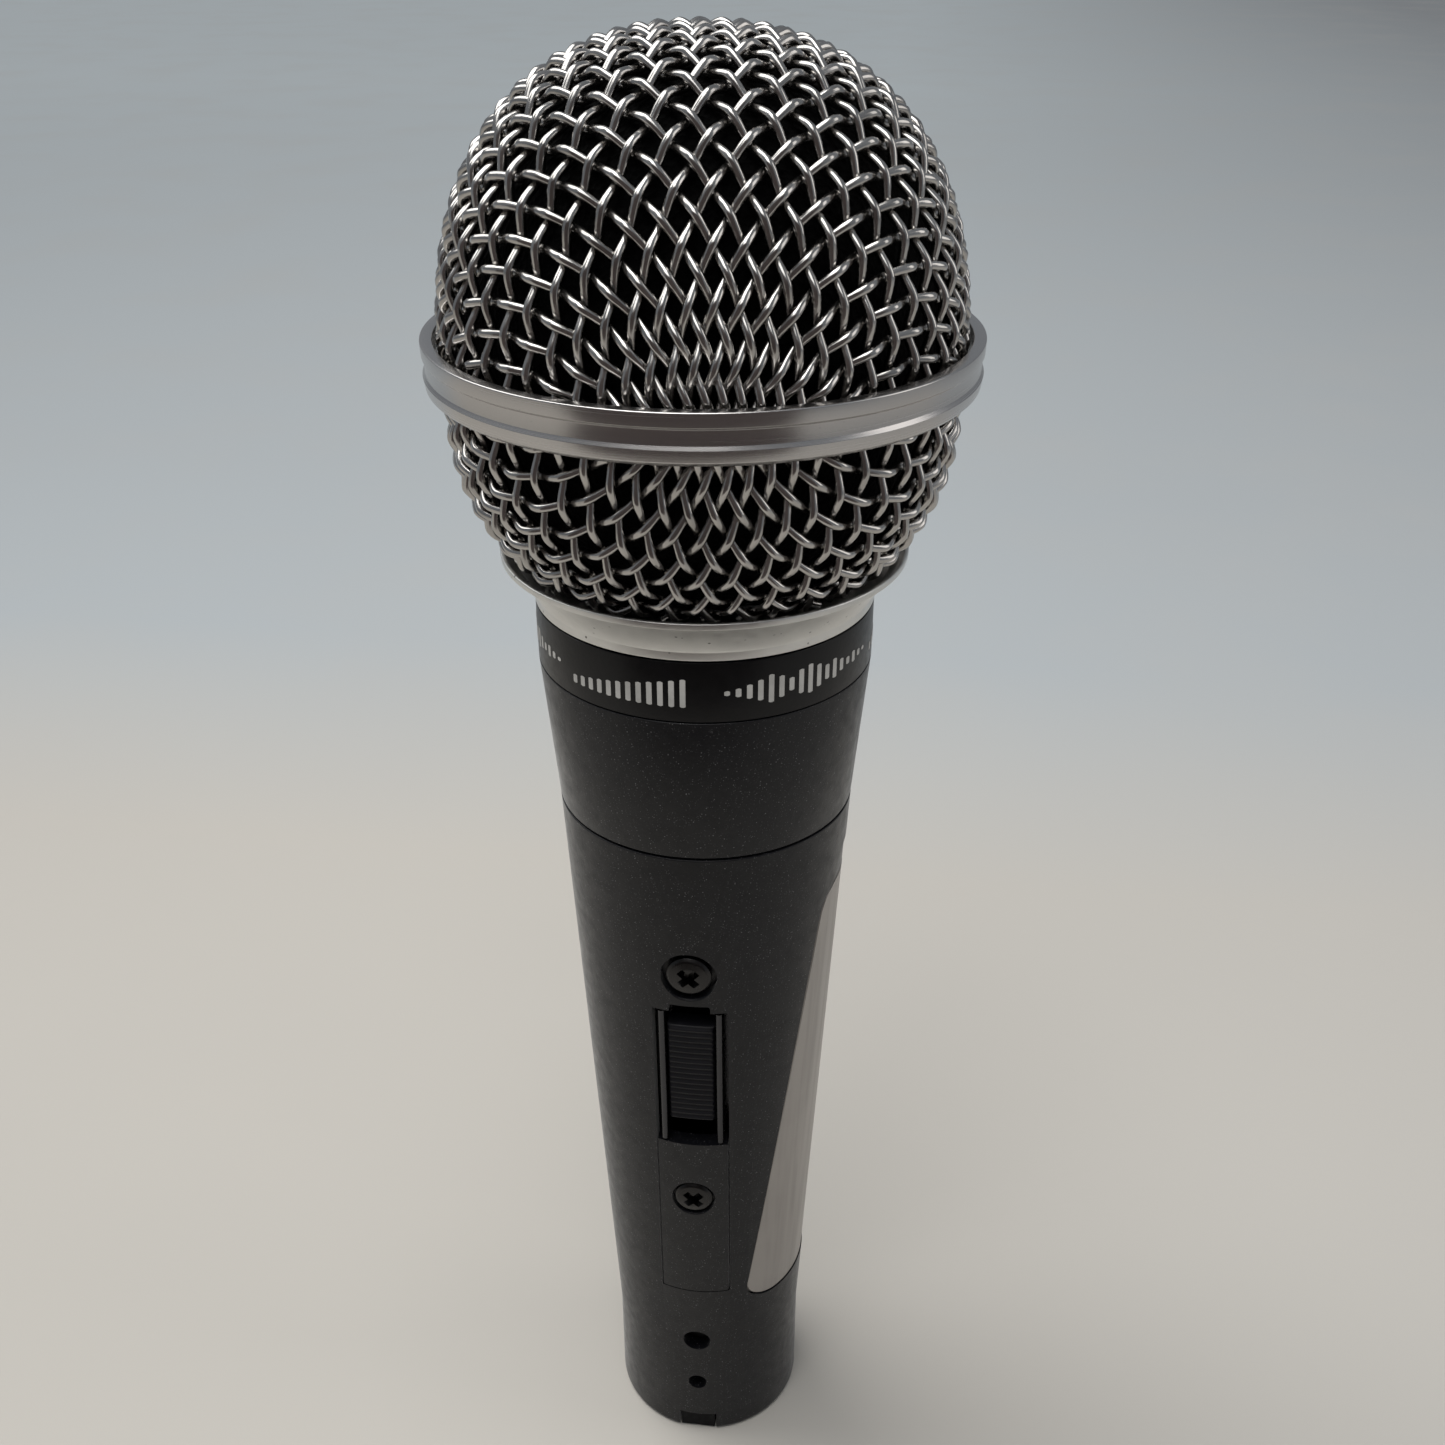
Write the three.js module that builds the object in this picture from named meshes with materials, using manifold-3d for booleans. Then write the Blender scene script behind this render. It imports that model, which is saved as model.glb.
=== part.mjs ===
// A hand-held dynamic vocal microphone with a ball grille and a slide switch.
// Units are millimetres. +Z runs up the microphone's axis, and Z 0 is the rim of its tail.
// The switch faces -Y, and the blank label plate is on the +X side.
import * as THREE from 'three';
import { mergeVertices } from 'three/addons/utils/BufferGeometryUtils.js';
import Module from 'manifold-3d';

const wasm = await Module();
wasm.setup();

// ---------------------------------------------------------------- driving dimensions

const GAP = 0.3; // between pieces that rest on or are cut by each other
const OVER = 1; // how far a cutting tool runs past the face it cuts
const ROUND = 36; // sides of the large round pieces
const INNER_ROUND = 20; // sides of the pieces inside
const SMALL_ROUND = 12; // sides of screws, pins and holes

const HANDLE = {
  tailRadius: 11.8,
  tailHeight: 14, // straight up to here, then tapered
  topRadius: 15.98,
  top: 94.1,
  wall: 2,
  rimChamfer: 0.6,
  sides: 48,
};

const NECK = {
  topRadius: 17.44,
  flareTop: 110.7, // the band sits on the neck above this
  bandTop: 117.2,
  sleeveRadius: 15.7, // under the band
  threadRadius: 15.6,
  threadTop: 122,
  bore: 14.2,
  spigotRadius: 14.1, // the part that goes down into the handle
  spigotBore: 12.9,
  spigotLength: 7.6,
  spigotBoreRise: 7, // the narrow bore ends this far above the seam with the handle
  boreRise: 8,
};

const GRILLE = {
  upperRadius: 25.13,
  upperHeight: 28.59,
  upperPower: 2.33, // of the dome's superellipse
  equator: 142.4,
  skirt: 0.9, // how far the dome goes down into the ring
  lowerRadius: 24.95,
  lowerDepth: 22.3,
  lowerCentre: 137,
  lowerPower: 2.08,
  lowerEnd: 121.7,
  wireLayer: 1.2, // thickness of the woven wire, as a shell
};

const RING = {
  radius: 26.65,
  bore: 25.45,
  bottom: 139.55,
  top: 144.25,
  edge: 0.15, // size of the chamfer at the top
  footEdge: 0.4, // and at the bottom
  grooveDepth: 0.27,
  grooveBottom: 141.38,
  grooveTop: 142.72,
};

const COLLAR = {
  bottom: 117.4,
  bottomRadius: 17.5,
  footHeight: 0.9, // the straight band at the foot of the flare
  lipRadius: 20.66,
  lipHeight: 0.65,
  lipWidth: 0.7,
  lipTop: 122.75,
  shelfRadius: 18.96, // the lower mesh stands in the cup inside this
  shelfDepth: 1.4,
  bore: 15.9,
};

const FOAM = { gap: 0.5, thickness: 2.2, bottom: 124.6 };

const SLOT = {
  width: 8.5,
  bottom: 27,
  top: 73.2,
  notchWidth: 4.6, // a thumb relief in its top edge
  notchTop: 74.2,
  outside: 20, // the cutting block runs from outside the handle to well inside it
  inside: 5,
};
const PLATE = { width: 8, bottom: 27.25, top: 52.9 }; // fills the slot below the switch
const SWITCH_TRAVEL = 3.2;
const SWITCH_SCREW_HEIGHT = 78.2;
const PLATE_SCREW_HEIGHT = 43.8;

// Depths below are measured inwards from the handle's front surface.
const SLIDER = {
  width: 5.3,
  bottom: 56.4,
  top: 70.6,
  face: 0.45,
  depth: 2.15,
  ribs: 18,
  ribHeight: 0.3,
  ribFlank: 0.2, // shares of the ribs' pitch
  ribValley: 0.4,
  stemWidth: 2,
  stemEnd: 7.2,
};
const FRAME = {
  width: 10.8,
  front: 3.9,
  back: 4.7,
  bottom: 40.6,
  top: 81.2,
  railInner: 2.85,
  railOuter: 3.6,
  railFront: 0.35,
};
const SWITCH_CASE = { width: 8, front: 5, back: 10, below: 8, above: 5, wall: 1 };
const CONTACT = { halfWidth: 1.8, thickness: 0.5, below: 3, above: 1.6 };
const TERMINAL = { width: 2, thickness: 0.6, front: 8.5, back: 12.8, heights: [-5.2, -1.5, 2.2] };

const SCREW = {
  shankRadius: 1.25,
  holeRadius: 1.5,
  shankEnd: 6,
  headHeight: 0.85,
  rimShare: 0.3, // of the head's height, up to which its rim is straight
  shoulderShare: 0.72,
  shoulderRadius: 0.85, // share of the head's radius
  crownRadius: 0.5,
  crossTurn: Math.PI / 4,
  crossWidth: 0.7,
  crossLength: 2.7,
  crossDepth: 0.7,
};
const SWITCH_SCREW_HEAD = { radius: 2.5, top: -0.2, recessRadius: 3.1, recessDepth: 1.3 };
const PLATE_SCREW_HEAD = { radius: 2.3, top: -0.2, recessRadius: 2.6, recessDepth: 0.95 };

const LABEL = {
  bottom: 24,
  top: 84.5,
  reliefTop: 88.5, // a shallow step runs on above the plate
  reliefDepth: 0.15,
  bottomHalfWidth: 10.7,
  topHalfWidth: 6.6,
  corner: 3.5,
  pocketDepth: 0.8,
  plateInset: 0.12,
  plateThickness: 0.4,
  seam: 0.25,
  sideEase: 0.9, // how far the sides bow inwards
  bowRise: 4, // the bow's middle is this far above the label's
};

const XLR = {
  outerRadius: 9.6,
  cavityRadius: 8.05,
  rim: 0.7,
  face: 15,
  top: 21.9,
  pinRadius: 1.2,
  pinHoleRadius: 1.4,
  pinCircle: 3.81,
  pinTip: 2.2,
  pinTipRadius: 0.72,
  pinTaper: 0.7,
  pinTop: 24.8,
};
const TAIL_BORE = { radius: 9.8, top: 22.2, shoulderRadius: 9, shoulderTop: 24.2 };
const SET_SCREW = {
  height: 17.4,
  holeRadius: 1.75,
  radius: 1.5,
  front: 10.3,
  back: 8.2,
  slotDepth: 0.6,
  slotHalf: 0.25,
};
const LATCH_HOLE = { height: 9.3, radius: 1.2 };
const LATCH_NOTCH = { width: 4.9, height: 3, tabFront: 11 }; // the insert's tab stands in it
const SHELL_CUT = { outside: 14, inside: 9 }; // along Y, through the handle's wall only
const SOCKET_CUT = { outside: 12, inside: 5 }; // along Y, through the insert's wall

const CAPSULE = {
  radius: 14.4,
  wall: 1.2,
  bottom: 123.7,
  top: 137.4,
  floor: 1.5,
  ventRadius: 4,
};

const FRONT_CAP = { thickness: 1.5, holeRadius: 2.2, holeCircle: 8, holes: 6 };
const SCREEN = { radius: 13.4, bottom: 139.5, top: 140 };
const YOKE = { bore: 2, cupRadius: 8.7, radius: 10.8, bottom: 125.5, floorTop: 127.4, top: 132.6 };
const MAGNET = { radius: 6.6, bottom: 127.7, top: 131 };
const POLE_PIECE = { radius: 7.3, bottom: 131.3, top: 132.9 };
const SEAT = { inner: 11.1, outer: 12.9, bottom: 125.5, top: 134 };
const COIL = { inner: 7.65, outer: 8.35, bottom: 130.6, top: 134.5 };
const DIAPHRAGM = {
  base: 134.8,
  thickness: 0.25,
  domeRadius: 8.2,
  domeRise: 1.8,
  rollHalfWidth: 2.2,
  rollRise: 0.8,
};
const SHOCK_MOUNT = { bore: 11.9, bottom: 110.5, flangeRadius: 15.3, flangeHeight: 1.1 };
const REAR_CHAMBER = { radius: 11.6, wall: 1.2, bottom: 104, top: 123.2 };
const BOARD = { radius: 9.8, bottom: 102.3, top: 103.7 };

const LEAD_RADIUS = 0.55;
const LEAD_STEPS = 14;

// ---------------------------------------------------------------- curves and solids

// Outside radius of the handle: a straight tail that runs into a slow taper.
const TAPER = (HANDLE.topRadius - HANDLE.tailRadius) / (HANDLE.top - HANDLE.tailHeight);
const TILT = Math.atan(TAPER);
function handleRadius(z) {
  return HANDLE.tailRadius + TAPER * Math.max(0, z - HANDLE.tailHeight);
}

function steps(from, to, count) {
  return Array.from({ length: count + 1 }, (_, i) => from + ((to - from) * i) / count);
}

// The dome's outline from its equator to its crown, offset inwards.
function domeOutline(inset, count) {
  const radius = GRILLE.upperRadius - inset;
  const height = GRILLE.upperHeight - inset;
  return steps(0, Math.PI / 2, count).map((angle, i) => {
    const r = i === count ? 0 : radius * Math.cos(angle) ** (2 / GRILLE.upperPower);
    return [r, GRILLE.equator + height * Math.sin(angle) ** (2 / GRILLE.upperPower)];
  });
}

// The lower bowl's outline from the height given up to its widest height, offset inwards.
function bowlOutline(inset, bottom, count) {
  const radius = GRILLE.lowerRadius - inset;
  const depth = GRILLE.lowerDepth - inset;
  const bend = 2 / GRILLE.lowerPower;
  const start = Math.asin(((GRILLE.lowerCentre - bottom) / depth) ** (1 / bend));
  const rise = steps(0, start, count).reverse();
  return rise.map((angle) => [
    radius * Math.cos(angle) ** bend,
    GRILLE.lowerCentre - depth * Math.sin(angle) ** bend,
  ]);
}

// A solid turned about Z from [radius, height] points, outside first from the bottom up.
function turned(points, sides = ROUND) {
  const outline = points.map(([r, z]) => new THREE.Vector2(r, z));
  if (points[0][0] > 0 || points.at(-1)[0] > 0) outline.push(outline[0].clone());
  return new THREE.LatheGeometry(outline, sides).rotateX(Math.PI / 2);
}

// A tube between two radii and two heights.
function sleeve(inner, outer, bottom, top, sides = INNER_ROUND) {
  return turned([[outer, bottom], [outer, top], [inner, top], [inner, bottom]], sides);
}

function disc(radius, bottom, top, sides = INNER_ROUND) {
  return turned([[0, bottom], [radius, bottom], [radius, top], [0, top]], sides);
}

// A box from the low and high corner.
function block(x0, x1, y0, y1, z0, z1) {
  const box = new THREE.BoxGeometry(x1 - x0, y1 - y0, z1 - z0);
  return box.translate((x0 + x1) / 2, (y0 + y1) / 2, (z0 + z1) / 2);
}

// A round bar along Y from one depth to another, at a height on the front centreline.
function barAlongY(radius, y0, y1, z, sides = SMALL_ROUND) {
  const bar = new THREE.CylinderGeometry(radius, radius, y1 - y0, sides);
  return bar.translate(0, (y0 + y1) / 2, z);
}

function toSolid(geometry) {
  const bare = geometry.clone();
  bare.deleteAttribute('normal');
  bare.deleteAttribute('uv');
  const merged = mergeVertices(bare, 1e-4);
  return new wasm.Manifold(
    new wasm.Mesh({
      numProp: 3,
      vertProperties: new Float32Array(merged.attributes.position.array),
      triVerts: new Uint32Array(merged.index.array),
    }),
  );
}

function toGeometry(solid) {
  const mesh = solid.getMesh();
  const geometry = new THREE.BufferGeometry();
  geometry.setAttribute('position', new THREE.BufferAttribute(mesh.vertProperties, 3));
  geometry.setIndex(new THREE.BufferAttribute(mesh.triVerts, 1));
  const faceted = geometry.toNonIndexed();
  faceted.computeVertexNormals();
  return faceted;
}

// The first geometry with the others cut away from it.
function cut(geometry, ...tools) {
  return toGeometry(tools.reduce((s, tool) => s.subtract(toSolid(tool)), toSolid(geometry)));
}

function join(geometry, ...others) {
  return toGeometry(others.reduce((s, other) => s.add(toSolid(other)), toSolid(geometry)));
}

function common(geometry, other) {
  return toGeometry(toSolid(geometry).intersect(toSolid(other)));
}

// ---------------------------------------------------------------- materials

const FINISHES = {
  handle_paint: [0x3a3836, 0.55, 0.3],
  band_paint: [0x1d1c1e, 0.45, 0.1],
  satin_nickel: [0x9c988f, 0.32, 0.95],
  wire_nickel: [0xb4aea4, 0.25, 1],
  foam: [0x0a0a0a, 1, 0],
  black_plastic: [0x141418, 0.5, 0],
  screw_black: [0x1c1b1b, 0.35, 0.8],
  label: [0x8c857d, 0.6, 0.1],
  steel: [0x8e9092, 0.4, 1],
  magnet: [0x5a5c60, 0.35, 1],
  rubber: [0x151515, 0.9, 0],
  film: [0xd8d4c4, 0.3, 0],
  copper: [0xb06a3a, 0.4, 1],
  brass: [0xc2a04e, 0.3, 1],
  board: [0x6a5a34, 0.7, 0],
  lead_red: [0x9c1f1c, 0.6, 0],
  lead_white: [0xd6d3cc, 0.6, 0],
  lead_yellow: [0xc9a227, 0.6, 0],
  lead_black: [0x151515, 0.6, 0],
};

function piece(name, finish, geometry) {
  const [color, roughness, metalness] = FINISHES[finish];
  const mesh = new THREE.Mesh(
    geometry,
    new THREE.MeshStandardMaterial({ color, roughness, metalness }),
  );
  mesh.name = name;
  return mesh;
}

// ---------------------------------------------------------------- grille

function upperMesh() {
  const skirt = GRILLE.equator - GRILLE.skirt;
  const outside = domeOutline(0, 7);
  const inside = domeOutline(GRILLE.wireLayer, 7).reverse();
  const innerRadius = GRILLE.upperRadius - GRILLE.wireLayer;
  return turned([...inside, [innerRadius, skirt], [GRILLE.upperRadius, skirt], ...outside]);
}

function lowerMesh() {
  const top = GRILLE.equator - GRILLE.skirt - GAP;
  const outside = bowlOutline(0, GRILLE.lowerEnd, 5);
  const inside = bowlOutline(GRILLE.wireLayer, GRILLE.lowerEnd, 5).reverse();
  return turned([
    ...outside,
    [GRILLE.lowerRadius, top],
    [GRILLE.lowerRadius - GRILLE.wireLayer, top],
    ...inside,
  ]);
}

// The band that clamps the two halves, with a wide shallow groove around it.
function grilleRing() {
  const { radius, bore, bottom, top, edge, footEdge } = RING;
  const { grooveDepth, grooveBottom, grooveTop } = RING;
  const groove = radius - grooveDepth;
  return turned([
    [bore, bottom],
    [radius - 1.5 * footEdge, bottom],
    [radius - footEdge / 2, bottom + footEdge],
    [radius, grooveBottom - grooveDepth],
    [groove, grooveBottom],
    [groove, grooveTop],
    [radius, grooveTop + grooveDepth],
    [radius, top - edge],
    [radius - edge, top],
    [bore, top],
  ]);
}

// The flared cup that holds the lower mesh and screws onto the neck.
function grilleCollar() {
  const { bottom, bottomRadius, footHeight, lipRadius, lipHeight, lipWidth, lipTop } = COLLAR;
  const { shelfRadius, shelfDepth, bore } = COLLAR;
  const flare = new THREE.QuadraticBezierCurve(
    new THREE.Vector2(bottomRadius, bottom + footHeight),
    new THREE.Vector2(bottomRadius + footHeight, bottom + 3 * footHeight),
    new THREE.Vector2(lipRadius, lipTop - lipHeight),
  );
  return turned([
    [bore, bottom],
    [bottomRadius, bottom],
    ...flare.getPoints(3).map((p) => [p.x, p.y]),
    [lipRadius, lipTop],
    [lipRadius - lipWidth, lipTop],
    [shelfRadius, lipTop - shelfDepth],
    [bore, lipTop - shelfDepth],
  ]);
}

function foamWindscreen() {
  const outer = GRILLE.wireLayer + FOAM.gap;
  const inner = outer + FOAM.thickness;
  const bowl = bowlOutline(outer, FOAM.bottom, 3);
  const bowlInside = bowlOutline(inner, FOAM.bottom, 3).reverse();
  const dome = domeOutline(outer, 5);
  const domeInside = domeOutline(inner, 5).reverse();
  const outline = [...domeInside, ...bowlInside, ...bowl, ...dome];
  return turned(outline, INNER_ROUND);
}

// ---------------------------------------------------------------- handle

// The handle's outline between two heights, offset inwards, with the bend at the tail.
function handleOutline(inset, bottom, top) {
  const heights = [bottom, HANDLE.tailHeight, top].filter((z) => z >= bottom);
  return heights.map((z) => [handleRadius(z) - inset, z]);
}

// A cone-shaped skin under the handle's surface, used to cut pieces that follow it.
function handleSkin(outerInset, innerInset, bottom, top) {
  return turned([
    ...handleOutline(outerInset, bottom, top),
    ...handleOutline(innerInset, bottom, top).reverse(),
  ]);
}

// The label's outline, extruded along +X, grown by a margin and closed at a given top.
function labelPrism(margin, top) {
  const { corner, sideEase, bowRise } = LABEL;
  const bottom = LABEL.bottom - margin;
  const half = LABEL.bottomHalfWidth + margin;
  const topHalf = LABEL.topHalfWidth + margin;
  const bow = (bottom + top) / 2 + bowRise;
  const shape = new THREE.Shape();
  shape.moveTo(corner - half, bottom);
  shape.lineTo(half - corner, bottom);
  shape.quadraticCurveTo(half, bottom, half, bottom + corner);
  shape.quadraticCurveTo(half - sideEase, bow, topHalf, top - corner);
  shape.quadraticCurveTo(topHalf, top, topHalf - corner, top);
  shape.lineTo(corner - topHalf, top);
  shape.quadraticCurveTo(-topHalf, top, -topHalf, top - corner);
  shape.quadraticCurveTo(sideEase - half, bow, -half, bottom + corner);
  shape.quadraticCurveTo(-half, bottom, corner - half, bottom);
  const prism = new THREE.ExtrudeGeometry(shape, {
    depth: HANDLE.topRadius,
    bevelEnabled: false,
    curveSegments: 4,
  });
  // The shape's X becomes Y, its Y becomes Z, and the extrusion runs along X.
  const toSide = new THREE.Matrix4().makeBasis(
    new THREE.Vector3(0, 1, 0),
    new THREE.Vector3(0, 0, 1),
    new THREE.Vector3(1, 0, 0),
  );
  return prism.applyMatrix4(toSide).translate(HANDLE.wall, 0, 0);
}

function labelRecess(top, depth) {
  const skin = handleSkin(-HANDLE.wall, depth, GAP, HANDLE.top - GAP);
  return common(labelPrism(LABEL.seam, top), skin);
}

function sideLabel() {
  const { plateInset, plateThickness } = LABEL;
  const skin = handleSkin(plateInset, plateInset + plateThickness, GAP, HANDLE.top - GAP);
  return common(labelPrism(0, LABEL.top), skin);
}

// A round tool square to the tapered front surface, from one depth to another.
function frontBore(radius, height, from, to) {
  const bore = barAlongY(radius, from, to, 0);
  return bore.rotateX(TILT).translate(0, -handleRadius(height), height);
}

function handleShell() {
  const { tailRadius, rimChamfer, top, wall } = HANDLE;
  const boreTop = top - NECK.spigotLength - 2 * GAP;
  const shell = turned([
    [TAIL_BORE.radius, 0],
    [tailRadius - rimChamfer, 0],
    [tailRadius - rimChamfer / 4, rimChamfer / 4],
    [tailRadius, rimChamfer],
    [tailRadius, HANDLE.tailHeight],
    [HANDLE.topRadius, top - GAP / 2],
    [NECK.spigotRadius + GAP, top - GAP / 2],
    [NECK.spigotRadius + GAP, boreTop],
    [handleRadius(boreTop) - wall, boreTop - OVER],
    [handleRadius(TAIL_BORE.shoulderTop) - wall, TAIL_BORE.shoulderTop],
    [TAIL_BORE.shoulderRadius, TAIL_BORE.shoulderTop],
    [TAIL_BORE.shoulderRadius, TAIL_BORE.top],
    [TAIL_BORE.radius, TAIL_BORE.top],
  ], HANDLE.sides);
  const head = SWITCH_SCREW_HEAD;
  const { width, notchWidth, notchTop, bottom, outside, inside } = SLOT;
  const latch = LATCH_NOTCH.width / 2;
  return cut(
    shell,
    labelRecess(LABEL.top + LABEL.seam, LABEL.pocketDepth),
    labelRecess(LABEL.reliefTop, LABEL.reliefDepth),
    block(-width / 2, width / 2, -outside, -inside, bottom, SLOT.top),
    block(-notchWidth / 2, notchWidth / 2, -outside, -inside, SLOT.top - OVER, notchTop),
    frontBore(head.recessRadius, SWITCH_SCREW_HEIGHT, -wall, head.recessDepth),
    frontBore(SCREW.holeRadius, SWITCH_SCREW_HEIGHT, 0, 2 * wall),
    shellHole(SET_SCREW.holeRadius, SET_SCREW.height),
    shellHole(LATCH_HOLE.radius, LATCH_HOLE.height),
    block(-latch, latch, -SHELL_CUT.outside, -SHELL_CUT.inside, -OVER, LATCH_NOTCH.height),
  );
}

// A round tool that goes through the front of the handle's tail.
function shellHole(radius, height) {
  return barAlongY(radius, -SHELL_CUT.outside, -SHELL_CUT.inside, height);
}

// The flared top section: a spigot below, a sleeve for the band, and the grille's thread.
function neckSection() {
  const bottom = HANDLE.top + GAP / 2;
  return turned([
    [NECK.spigotRadius, bottom - NECK.spigotLength],
    [NECK.spigotRadius, bottom],
    [HANDLE.topRadius, bottom],
    [NECK.topRadius, NECK.flareTop],
    [NECK.sleeveRadius, NECK.flareTop],
    [NECK.sleeveRadius, NECK.bandTop],
    [NECK.threadRadius, NECK.bandTop],
    [NECK.threadRadius, NECK.threadTop],
    [NECK.bore, NECK.threadTop],
    [NECK.bore, bottom + NECK.boreRise],
    [NECK.spigotBore, bottom + NECK.spigotBoreRise],
    [NECK.spigotBore, bottom - NECK.spigotLength],
  ]);
}

function nameBand() {
  const inner = NECK.sleeveRadius + GAP;
  const outer = NECK.topRadius;
  return sleeve(inner, outer, NECK.flareTop + GAP / 2, NECK.bandTop, ROUND);
}

// ---------------------------------------------------------------- switch

// The switch is built square to the handle's front surface: local Y is the depth below it,
// and local Z runs up the taper from the middle of the slider.
const SWITCH_CENTRE = (SLIDER.bottom + SLIDER.top) / 2;
function along(height) {
  return (height - SWITCH_CENTRE) / Math.cos(TILT);
}

function switchFrame() {
  const { width, front, back, railInner, railOuter, railFront } = FRAME;
  const railTop = along(SLOT.top) - GAP;
  const railBottom = along(PLATE.top) + GAP;
  const rail = (x0, x1) => block(x0, x1, railFront, back, railBottom, railTop);
  const bracket = join(
    block(-width / 2, width / 2, front, back, along(FRAME.bottom), along(FRAME.top)),
    rail(railInner, railOuter),
    rail(-railOuter, -railInner),
  );
  const stemRoom = SLIDER.stemWidth / 2 + GAP;
  return cut(
    bracket,
    block(-stemRoom, stemRoom, front - OVER, back + OVER, -stemRoom - SWITCH_TRAVEL, stemRoom),
    barAlongY(SCREW.holeRadius, front - OVER, back + OVER, along(SWITCH_SCREW_HEIGHT)),
    barAlongY(SCREW.holeRadius, front - OVER, back + OVER, along(PLATE_SCREW_HEIGHT)),
  );
}

// The thumb slider: a cap with ribs across its face, and a stem that reaches the contact.
function switchSlider() {
  const { width, face, depth, ribs, ribHeight, ribFlank, ribValley, stemWidth, stemEnd } = SLIDER;
  const bottom = along(SLIDER.bottom);
  const pitch = (along(SLIDER.top) - bottom) / ribs;
  const side = new THREE.Shape();
  side.moveTo(face + ribHeight + depth, bottom);
  for (let i = 0; i < ribs; i += 1) {
    const z = bottom + i * pitch;
    side.lineTo(face + ribHeight, z);
    side.lineTo(face, z + pitch * ribFlank);
    side.lineTo(face, z + pitch * (ribFlank + ribValley));
    side.lineTo(face + ribHeight, z + pitch * (2 * ribFlank + ribValley));
  }
  side.lineTo(face + ribHeight, bottom + ribs * pitch);
  side.lineTo(face + ribHeight + depth, bottom + ribs * pitch);
  const cap = new THREE.ExtrudeGeometry(side, { depth: width, bevelEnabled: false });
  // The outline's X becomes depth, its Y becomes height, and the extrusion runs across.
  const across = new THREE.Matrix4().makeBasis(
    new THREE.Vector3(0, 1, 0),
    new THREE.Vector3(0, 0, 1),
    new THREE.Vector3(1, 0, 0),
  );
  cap.applyMatrix4(across).translate(-width / 2, 0, 0);
  const half = stemWidth / 2;
  return join(cap, block(-half, half, face + depth, stemEnd, -half, half));
}

// The switch's case: a box open towards the slider, with a slot for each terminal.
function switchCase() {
  const { width, front, back, below, above, wall } = SWITCH_CASE;
  const half = width / 2;
  const clear = TERMINAL.thickness / 2 + GAP;
  const slotHalf = TERMINAL.width / 2 + GAP;
  return cut(
    block(-half, half, front, back, -below, above),
    block(-half + wall, half - wall, front - OVER, back - wall, -below + wall, above - wall),
    ...TERMINAL.heights.map((z) =>
      block(-slotHalf, slotHalf, back - wall - OVER, back + OVER, z - clear, z + clear)),
  );
}

function switchContact() {
  const { halfWidth, thickness, below, above } = CONTACT;
  const front = SLIDER.stemEnd + GAP;
  return block(-halfWidth, halfWidth, front, front + thickness, -below, above);
}

function switchTerminal(z) {
  const { width, thickness, front, back } = TERMINAL;
  const half = thickness / 2;
  return block(-width / 2, width / 2, front, back, z - half, z + half);
}

// A pan-head cross-recess screw along local Y, with its head's crown at a given depth.
function crossScrew(head) {
  const { shankRadius, shankEnd, headHeight, rimShare, shoulderShare } = SCREW;
  const { shoulderRadius, crownRadius, crossTurn, crossWidth, crossLength, crossDepth } = SCREW;
  const base = head.top + headHeight;
  // Heights along the screw are negative depths, so the crown comes last.
  const body = turned([
    [0, -shankEnd],
    [shankRadius, -shankEnd],
    [shankRadius, -base],
    [head.radius, -base],
    [head.radius, -base + rimShare * headHeight],
    [head.radius * shoulderRadius, -base + shoulderShare * headHeight],
    [head.radius * crownRadius, -head.top - (1 - shoulderShare) / 4 * headHeight],
    [0, -head.top],
  ], SMALL_ROUND).rotateX(Math.PI / 2);
  const l = crossLength / 2;
  const w = crossWidth / 2;
  const bottom = head.top + crossDepth;
  return cut(
    body,
    block(-l, l, head.top - OVER, bottom, -w, w).rotateY(crossTurn),
    block(-w, w, head.top - OVER, bottom, -l, l).rotateY(crossTurn),
  );
}

function switchPlate() {
  const skin = handleSkin(0, HANDLE.wall, PLATE.bottom, PLATE.top);
  const half = PLATE.width / 2;
  const low = PLATE.bottom - OVER;
  const window = block(-half, half, -SLOT.outside, -SLOT.inside, low, PLATE.top + OVER);
  const head = PLATE_SCREW_HEAD;
  return cut(
    common(skin, window),
    frontBore(head.recessRadius, PLATE_SCREW_HEIGHT, -HANDLE.wall, head.recessDepth),
    frontBore(SCREW.holeRadius, PLATE_SCREW_HEIGHT, 0, 2 * HANDLE.wall),
  );
}

function switchGroup() {
  const group = new THREE.Group();
  group.position.set(0, -handleRadius(SWITCH_CENTRE), SWITCH_CENTRE);
  group.rotation.x = TILT;
  const topScrew = piece('switch_screw', 'screw_black', crossScrew(SWITCH_SCREW_HEAD));
  topScrew.position.z = along(SWITCH_SCREW_HEIGHT);
  const plateScrew = piece('plate_screw', 'screw_black', crossScrew(PLATE_SCREW_HEAD));
  plateScrew.position.z = along(PLATE_SCREW_HEIGHT);
  group.add(
    piece('switch_frame', 'screw_black', switchFrame()),
    piece('switch_slider', 'black_plastic', switchSlider()),
    piece('switch_case', 'black_plastic', switchCase()),
    piece('switch_contact', 'brass', switchContact()),
    topScrew,
    plateScrew,
  );
  TERMINAL.heights.forEach((z, i) =>
    group.add(piece(`switch_terminal_${i + 1}`, 'brass', switchTerminal(z))));
  return group;
}

// ---------------------------------------------------------------- tail connector

const PIN_PLACES = [[-XLR.pinCircle, 0], [XLR.pinCircle, 0], [0, XLR.pinCircle]];

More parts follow.
